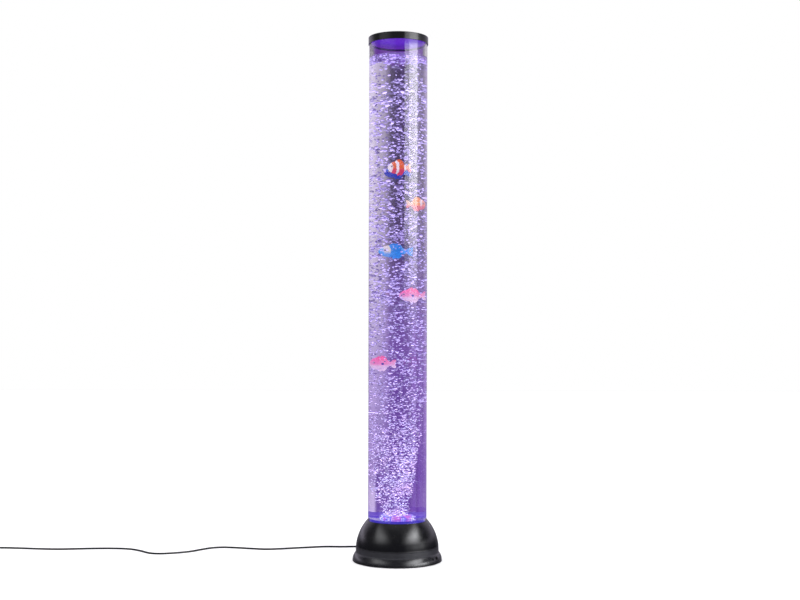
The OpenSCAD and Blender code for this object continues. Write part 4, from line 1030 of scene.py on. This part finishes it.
def dome(centre, radius, bulge, way, rings=6, sides=20):
    """A round button that stands out of the fish's side."""
    points = [(centre[0], centre[1] + way * bulge, centre[2])]
    faces = []
    for i in range(1, rings + 1):
        t = i / rings * math.pi / 2
        for k in range(sides):
            a = 2 * math.pi * k / sides
            points.append((centre[0] + radius * math.sin(t) * math.cos(a),
                           centre[1] + way * bulge * math.cos(t),
                           centre[2] + radius * math.sin(t) * math.sin(a)))
    for k in range(sides):
        n = (k + 1) % sides
        faces.append((0, 1 + k, 1 + n))
        for i in range(rings - 1):
            a, b = 1 + i * sides, 1 + (i + 1) * sides
            faces.append((a + k, b + k, b + n, a + n))
    last = 1 + (rings - 1) * sides
    faces.append(list(range(last, last + sides)))
    return points, faces


EYE_U = 0.175
EYE_Z = 0.075


def fish_eyes():
    """Ball and pupil on both sides, as (shape, material number)."""
    x, z = fish_x(EYE_U), EYE_Z * FISH_H
    out = FISH_T * 0.36
    parts = []
    for way in (-1, 1):
        parts.append((dome((x, way * out, z), 1.9 * MM, 1.5 * MM, way), 1))
        parts.append((dome((x, way * (out + 0.75 * MM), z), 1.15 * MM, 0.95 * MM, way), 2))
    return parts


def fish_skin(name, coat):
    """Bands from nose to tail with wavering edges, shaded belly and back, scales and gloss, and a
    painted glow in the fish's own colour.
    """
    look = Look(name, WHITE, 0.28)
    waver = look.ramp(look.noise(7 * MM, 1), -0.028, 0.028, 0.3, 0.7)
    bow = look.times(look.height, look.height, 420.0)
    along = look.ramp(look.axis(look.place, 0), 0.0, 1.0, fish_x(0), fish_x(1))
    along = look.math("ADD", look.math("ADD", along, waver), bow)
    colour = look.bands(along, coat.bands)
    low = look.ramp(look.height, 0.85, 0.0, -0.16 * FISH_H, 0.01 * FISH_H)
    if coat.belly is CORAL:
        white = look.add("ShaderNodeSeparateColor", {0: colour}, 2)
        low = look.times(low, look.ramp(white, 1.0, 0.0, 0.4, 0.8))
    colour = look.mix(low, colour, coat.belly)
    if coat.back:
        high = look.ramp(look.height, 0.0, 0.9, 0.08 * FISH_H, 0.26 * FISH_H)
        colour = look.mix(high, colour, coat.back)
    if coat.spot:
        (u, w, size), tint = coat.spot
        far = look.away((fish_x(u), 0, w * FISH_H), (1, 0, 1))
        inside = look.ramp(far, 1.0, 0.0, size * FISH_L * 0.8, size * FISH_L * 1.15)
        colour = look.mix(inside, colour, tint)
    flecks = look.ramp(look.noise(2.6 * MM, 1, shift=(5, 2, 0)), 0.0, 0.55, 0.60, 0.72)
    flecks = look.times(flecks, look.ramp(look.height, 0.0, 1.0, -0.02 * FISH_H, 0.12 * FISH_H))
    colour = look.mix(flecks, colour, (0.95, 0.85, 0.95))
    mottle = look.ramp(look.noise(2.2 * MM, 3), 0.86, 1.1, 0.25, 0.75)
    colour = look.add("ShaderNodeHueSaturation", {"Value": mottle, "Color": colour})
    look.set("Base Color", colour)
    # Painted glow: the fish gives off light in its own colour
    look.glow(colour, 0.38)
    scales = look.cells(1.5 * MM)
    look.bump(scales, 0.12 * MM, 0.6)
    look.set("Roughness", look.ramp(scales, 0.22, 0.4))
    look.set("Subsurface Weight", 0.08)
    look.set("Subsurface Scale", 0.01)
    return look


def join_shapes(parts):
    """One set of points and faces from several, with each face's material number."""
    points, faces, numbers = [], [], []
    for (some_points, some_faces), number in parts:
        start = len(points)
        points += some_points
        faces += [[start + c for c in f] for f in some_faces]
        numbers += [number] * len(some_faces)
    return points, faces, numbers


def make_fish():
    white = moulded("eye_white", (0.85, 0.82, 0.85), 0.15, 0.5 * MM, 0.01 * MM)
    body = fish_body()
    parts = [(body, 0)] + [(shape, 0) for shape in fish_fins()] + fish_eyes()
    points, faces, numbers = join_shapes(parts)
    skins = {name: fish_skin("skin_" + name, coat) for name, coat in COATS.items()}
    pupils = {name: moulded("pupil_" + name, coat.eye, 0.1, 0.5 * MM, 0.01 * MM)
              for name, coat in COATS.items()}
    for node, coat, turn, size in FISH:
        low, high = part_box(node)
        fish = sharpen(mesh_object(node + "_model", points, [tuple(f) for f in faces]), 50)
        for look in (skins[coat], white, pupils[coat]):
            fish.data.materials.append(look.material)
        fish.data.polygons.foreach_set("material_index", numbers)
        fish.scale = (size, size, size)
        fish.rotation_euler = (0, 0, math.radians(turn))
        fish.location = (low + high) / 2
        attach(fish, node + "_body")
        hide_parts(node)


# ---------- Stage: floor, lights and surroundings ----------

FLOOR_LIGHT = 1.7            # what the studio's pale surroundings give matt surfaces


def area_light(name, place, aim, size, power, colour=(1, 1, 1), shape="RECTANGLE"):
    """A soft light that neither the camera nor gloss sees."""
    data = bpy.data.lights.new(name, "AREA")
    data.shape = shape
    data.size = data.size_y = size
    data.energy = power
    data.color = colour
    light = link(bpy.data.objects.new(name, data))
    light.location = place
    light.rotation_euler = (Vector(aim) - Vector(place)).to_track_quat("-Z", "Y").to_euler()
    for rays in ("camera", "transmission", "glossy", "volume_scatter"):
        setattr(light, "visible_" + rays, False)


def around(azimuth, distance, z):
    """A place that far from the lamp, with the azimuth from the photo's camera towards +X."""
    a = math.radians(azimuth)
    return (distance * math.sin(a), -distance * math.cos(a), z)


def make_lights():
    middle = (0, 0, 0.4)
    area_light("key", around(40, 1.8, 2.0), middle, size=1.2, power=12)
    area_light("fill", around(-60, 2.0, 1.4), middle, size=1.2, power=7)
    area_light("lamp_light", (0, 0, DISC_TOP + 0.6 * MM), (0, 0, 1), 98 * MM, 0.035,
               (0.85, 0.6, 1.0), "DISK")
    area_light("cap_light", (0, 0, WATER_LEVEL + 6 * MM), (0, 0, 2), 80 * MM, 1.15,
               (0.30, 0.06, 1.0), "DISK")


# The studio round the lamp. Azimuths are in degrees, 0 towards the photo's camera and 90 towards
# +X, and each level is how bright that way is. Gloss sees one ring of soft boxes and pale walls
# at the tube's height and another one higher up, for the cap and the dome.
WALLS = [(-180, 0.8), (-150, 1.0), (-118, 1.8), (-102, 0.4), (-84, 0.1), (24.5, 0.1), (26, 5.2),
         (42, 5.6), (46, 12), (79, 12), (84, 3.6), (98, 1.3), (125, 0.7), (180, 0.8)]
WALLS_TOP = 12
TUBE_TOP_RISE = 12.9         # what the tube's top mirrors, in degrees above the horizon
SOFT_BOXES = (2.8, 9.0)      # how bright the left and the right one are
BOX_AT, BOX_AT_CAP = 51, 62  # the azimuth of their middles, over the dome and over the cap
BOX_LEAN = 0.00026           # how they lean outwards, by the cube of the rise

# What shows through the tube, by how far the water turns the view to the left (-) or right (+):
# pale walls with a dark gap in the middle and a dim strip on the right. It repeats each half turn.
BACKDROP = [(-90, 0.05), (-84, 0.05), (-76, 0.5), (-60, 0.74), (-45, 0.74), (-29, 0.68),
            (-20, 0.54), (-13, 0.36), (-7, 0.05), (7, 0.04), (11, 0.05), (15, 0.08), (20, 0.09),
            (28, 0.09), (36, 0.05), (42, 0.15), (48, 0.26), (70, 0.42), (78, 0.26), (84, 0.05),
            (90, 0.05)]

# Painted glow: how much violet light is added across the dark parts of what shows through the
# water, for the light the water carries, by the view's degrees of rise
PAINTED_WATER_GLOW = [(-9, 0.3), (-6, 0.45), (-3.5, 0.5), (-1, 1.0), (1.5, 0.8), (4, 0.15), (6, 0.0),
           (9, 0.0)]


class Studio(Nodes):
    """The world's nodes: levels by the direction a ray takes, and a choice by kind of ray."""

    def __init__(self):
        world = bpy.data.worlds.new("studio")
        bpy.context.scene.world = world
        world.use_nodes = True
        super().__init__(world.node_tree)
        self.tree.nodes.clear()
        self.path = self.tree.nodes.new("ShaderNodeLightPath")
        way = self.add("ShaderNodeTexCoord", out="Generated")
        azimuth = self.math("ARCTAN2", self.axis(way, 0), self.times(self.axis(way, 1), -1.0))
        self.azimuth = self.times(azimuth, 180 / math.pi)
        self.away = self.math("ABSOLUTE", self.azimuth)
        self.rise = self.times(self.math("ARCSINE", self.axis(way, 2)), 180 / math.pi)

    def background(self, colour, strength=1.0):
        return self.add("ShaderNodeBackground", {0: colour, 1: strength})

    def choose(self, which, other, chosen):
        return self.add("ShaderNodeMixShader", {0: self.path.outputs[which], 1: other, 2: chosen})

    def for_gloss(self):
        """What polished surfaces mirror: walls up to the tube's top, and soft boxes above it."""
        step = self.step
        walls = self.times(
            self.levels(self.azimuth, WALLS, WALLS_TOP), step(self.rise, -1.5, 8.5, 0.03, 1.0),
            step(self.rise, TUBE_TOP_RISE - 0.2, TUBE_TOP_RISE + 0.05, 1.0, 0.25))
        lean = self.times(self.math("POWER", self.math("MAXIMUM", self.rise, 0.0), 3.0), BOX_LEAN)
        lean = self.math("ADD", lean, step(self.rise, 14.0, 18.0, BOX_AT_CAP, BOX_AT))
        off = self.math("SUBTRACT", self.away, lean)
        across = self.times(step(off, -42.0, -5.0), step(off, 5.0, 24.0, 1.0, 0.0))
        upward = self.times(step(self.rise, 7.0, 22.0), step(self.rise, 34.0, 60.0, 1.0, 0.0))
        boxes = self.times(across, upward, step(self.azimuth, -5.0, 5.0, *SOFT_BOXES))
        high = self.math("ADD", boxes, step(self.rise, 42.0, 75.0, 0.05, 0.5))
        high = self.math("MAXIMUM", high, step(self.away, 100.0, 140.0, 0.0, 0.8))
        above = step(self.rise, TUBE_TOP_RISE, TUBE_TOP_RISE + 0.15)
        level = self.add("ShaderNodeMix", {0: above, 2: walls, 3: high})
        level = self.math("MAXIMUM", level, step(self.away, 120.0, 150.0, 0.0, 0.3))
        tint = self.mix(step(self.away, 84.0, 112.0), (0.985, 0.99, 1.02), (0.88, 0.82, 1.0))
        return self.scaled(tint, level)

    def for_tube(self):
        """What shows through the water: the backdrop, with a painted violet glow for the light the
        water carries and a painted dull violet patch just under the tube's top.
        """
        step = self.step
        side = self.math("WRAP", self.azimuth, 90.0, -90.0)
        right = step(side, 5.0, 12.0)
        sinks = step(self.rise, -6.5, 5.0)
        crowd = self.times(step(self.rise, -7.0, -4.0, 1.0, 0.0),
                           step(side, -31.0, -23.0, 0.0, 0.8))
        level = self.times(self.levels(side, BACKDROP), self.math("SUBTRACT", 1.0, crowd))
        # Painted glow: below the horizon the right side of what shows through is tinted violet for
        # the water's light
        lower = self.mix(right, (0.52, 0.47, 0.58), (0.92, 0.58, 1.3))
        upper = self.mix(right, (1.0, 0.95, 1.0), (1.0, 0.88, 1.15))
        corner = self.times(step(self.rise, -7.6, -6.8, 1.0, 0.0),
                            step(side, -30.0, -20.0, 1.0, 0.0))
        tint = self.mix(corner, self.mix(sinks, lower, upper), (0.95, 0.89, 0.92))
        glow = self.times(self.levels(self.rise, PAINTED_WATER_GLOW), step(side, -26.0, -10.0))
        seen = self.scaled(tint, level)
        # Painted glow: violet added below the horizon and across the dark gap, for the light the
        # water carries
        for carried in (self.mix(sinks, (0.045, 0.018, 0.12), (0.0, 0.0, 0.0)),
                        self.mix(glow, (0.0, 0.0, 0.0), (0.085, 0.036, 0.155))):
            seen = self.vector("ADD", seen, carried)
        streaks = self.add("ShaderNodeTexNoise", {
            "W": self.math("MULTIPLY_ADD", side, 0.22), "Scale": 1.0, "Detail": 2.0,
        }, noise_dimensions="1D")
        streaks = step(streaks, 0.36, 0.64, 0.72, 1.3)
        streaks = self.add("ShaderNodeMix", {0: right, 2: 1.0, 3: streaks})
        # Painted light: a dull violet patch seen just under the tube's top, for the lamps' light
        # inside it
        inner = self.times(step(self.rise, 11.7, 12.0),
                           step(self.math("ABSOLUTE", side), 6.0, 9.0, 1.0, 0.0))
        return self.mix(inner, self.scaled(seen, streaks), (0.14, 0.04, 0.30))


def make_world():
    """White for the camera, pale light for matt surfaces, a studio for gloss and for the tube."""
    studio = Studio()
    white = (1, 1, 1)
    shown = studio.background(white)
    shown = studio.choose("Is Diffuse Ray", shown, studio.background(white, FLOOR_LIGHT))
    shown = studio.choose("Is Glossy Ray", shown, studio.background(studio.for_gloss()))
    shown = studio.choose("Is Transmission Ray", shown, studio.background(studio.for_tube()))
    studio.add("ShaderNodeOutputWorld", {0: shown})


def make_floor():
    corners = [(-6, -6, 0), (6, -6, 0), (6, 6, 0), (-6, 6, 0)]
    floor = mesh_object("studio_floor", corners, [(0, 1, 2, 3)], False)
    look = moulded("studio_floor", (0.86, 0.86, 0.87), 0.6, 3 * MM, 0.02 * MM, 0.01)
    floor.data.materials.append(look.material)
    floor.visible_glossy = False
    floor.visible_transmission = False


make_camera()
looks = make_looks()
make_cord(looks)
make_bellows(looks)
dress_frame(looks)
make_tube()
make_water()
make_fish()
make_bubbles()
make_world()
make_lights()
make_floor()
bpy.context.scene.view_settings.view_transform = "Standard"
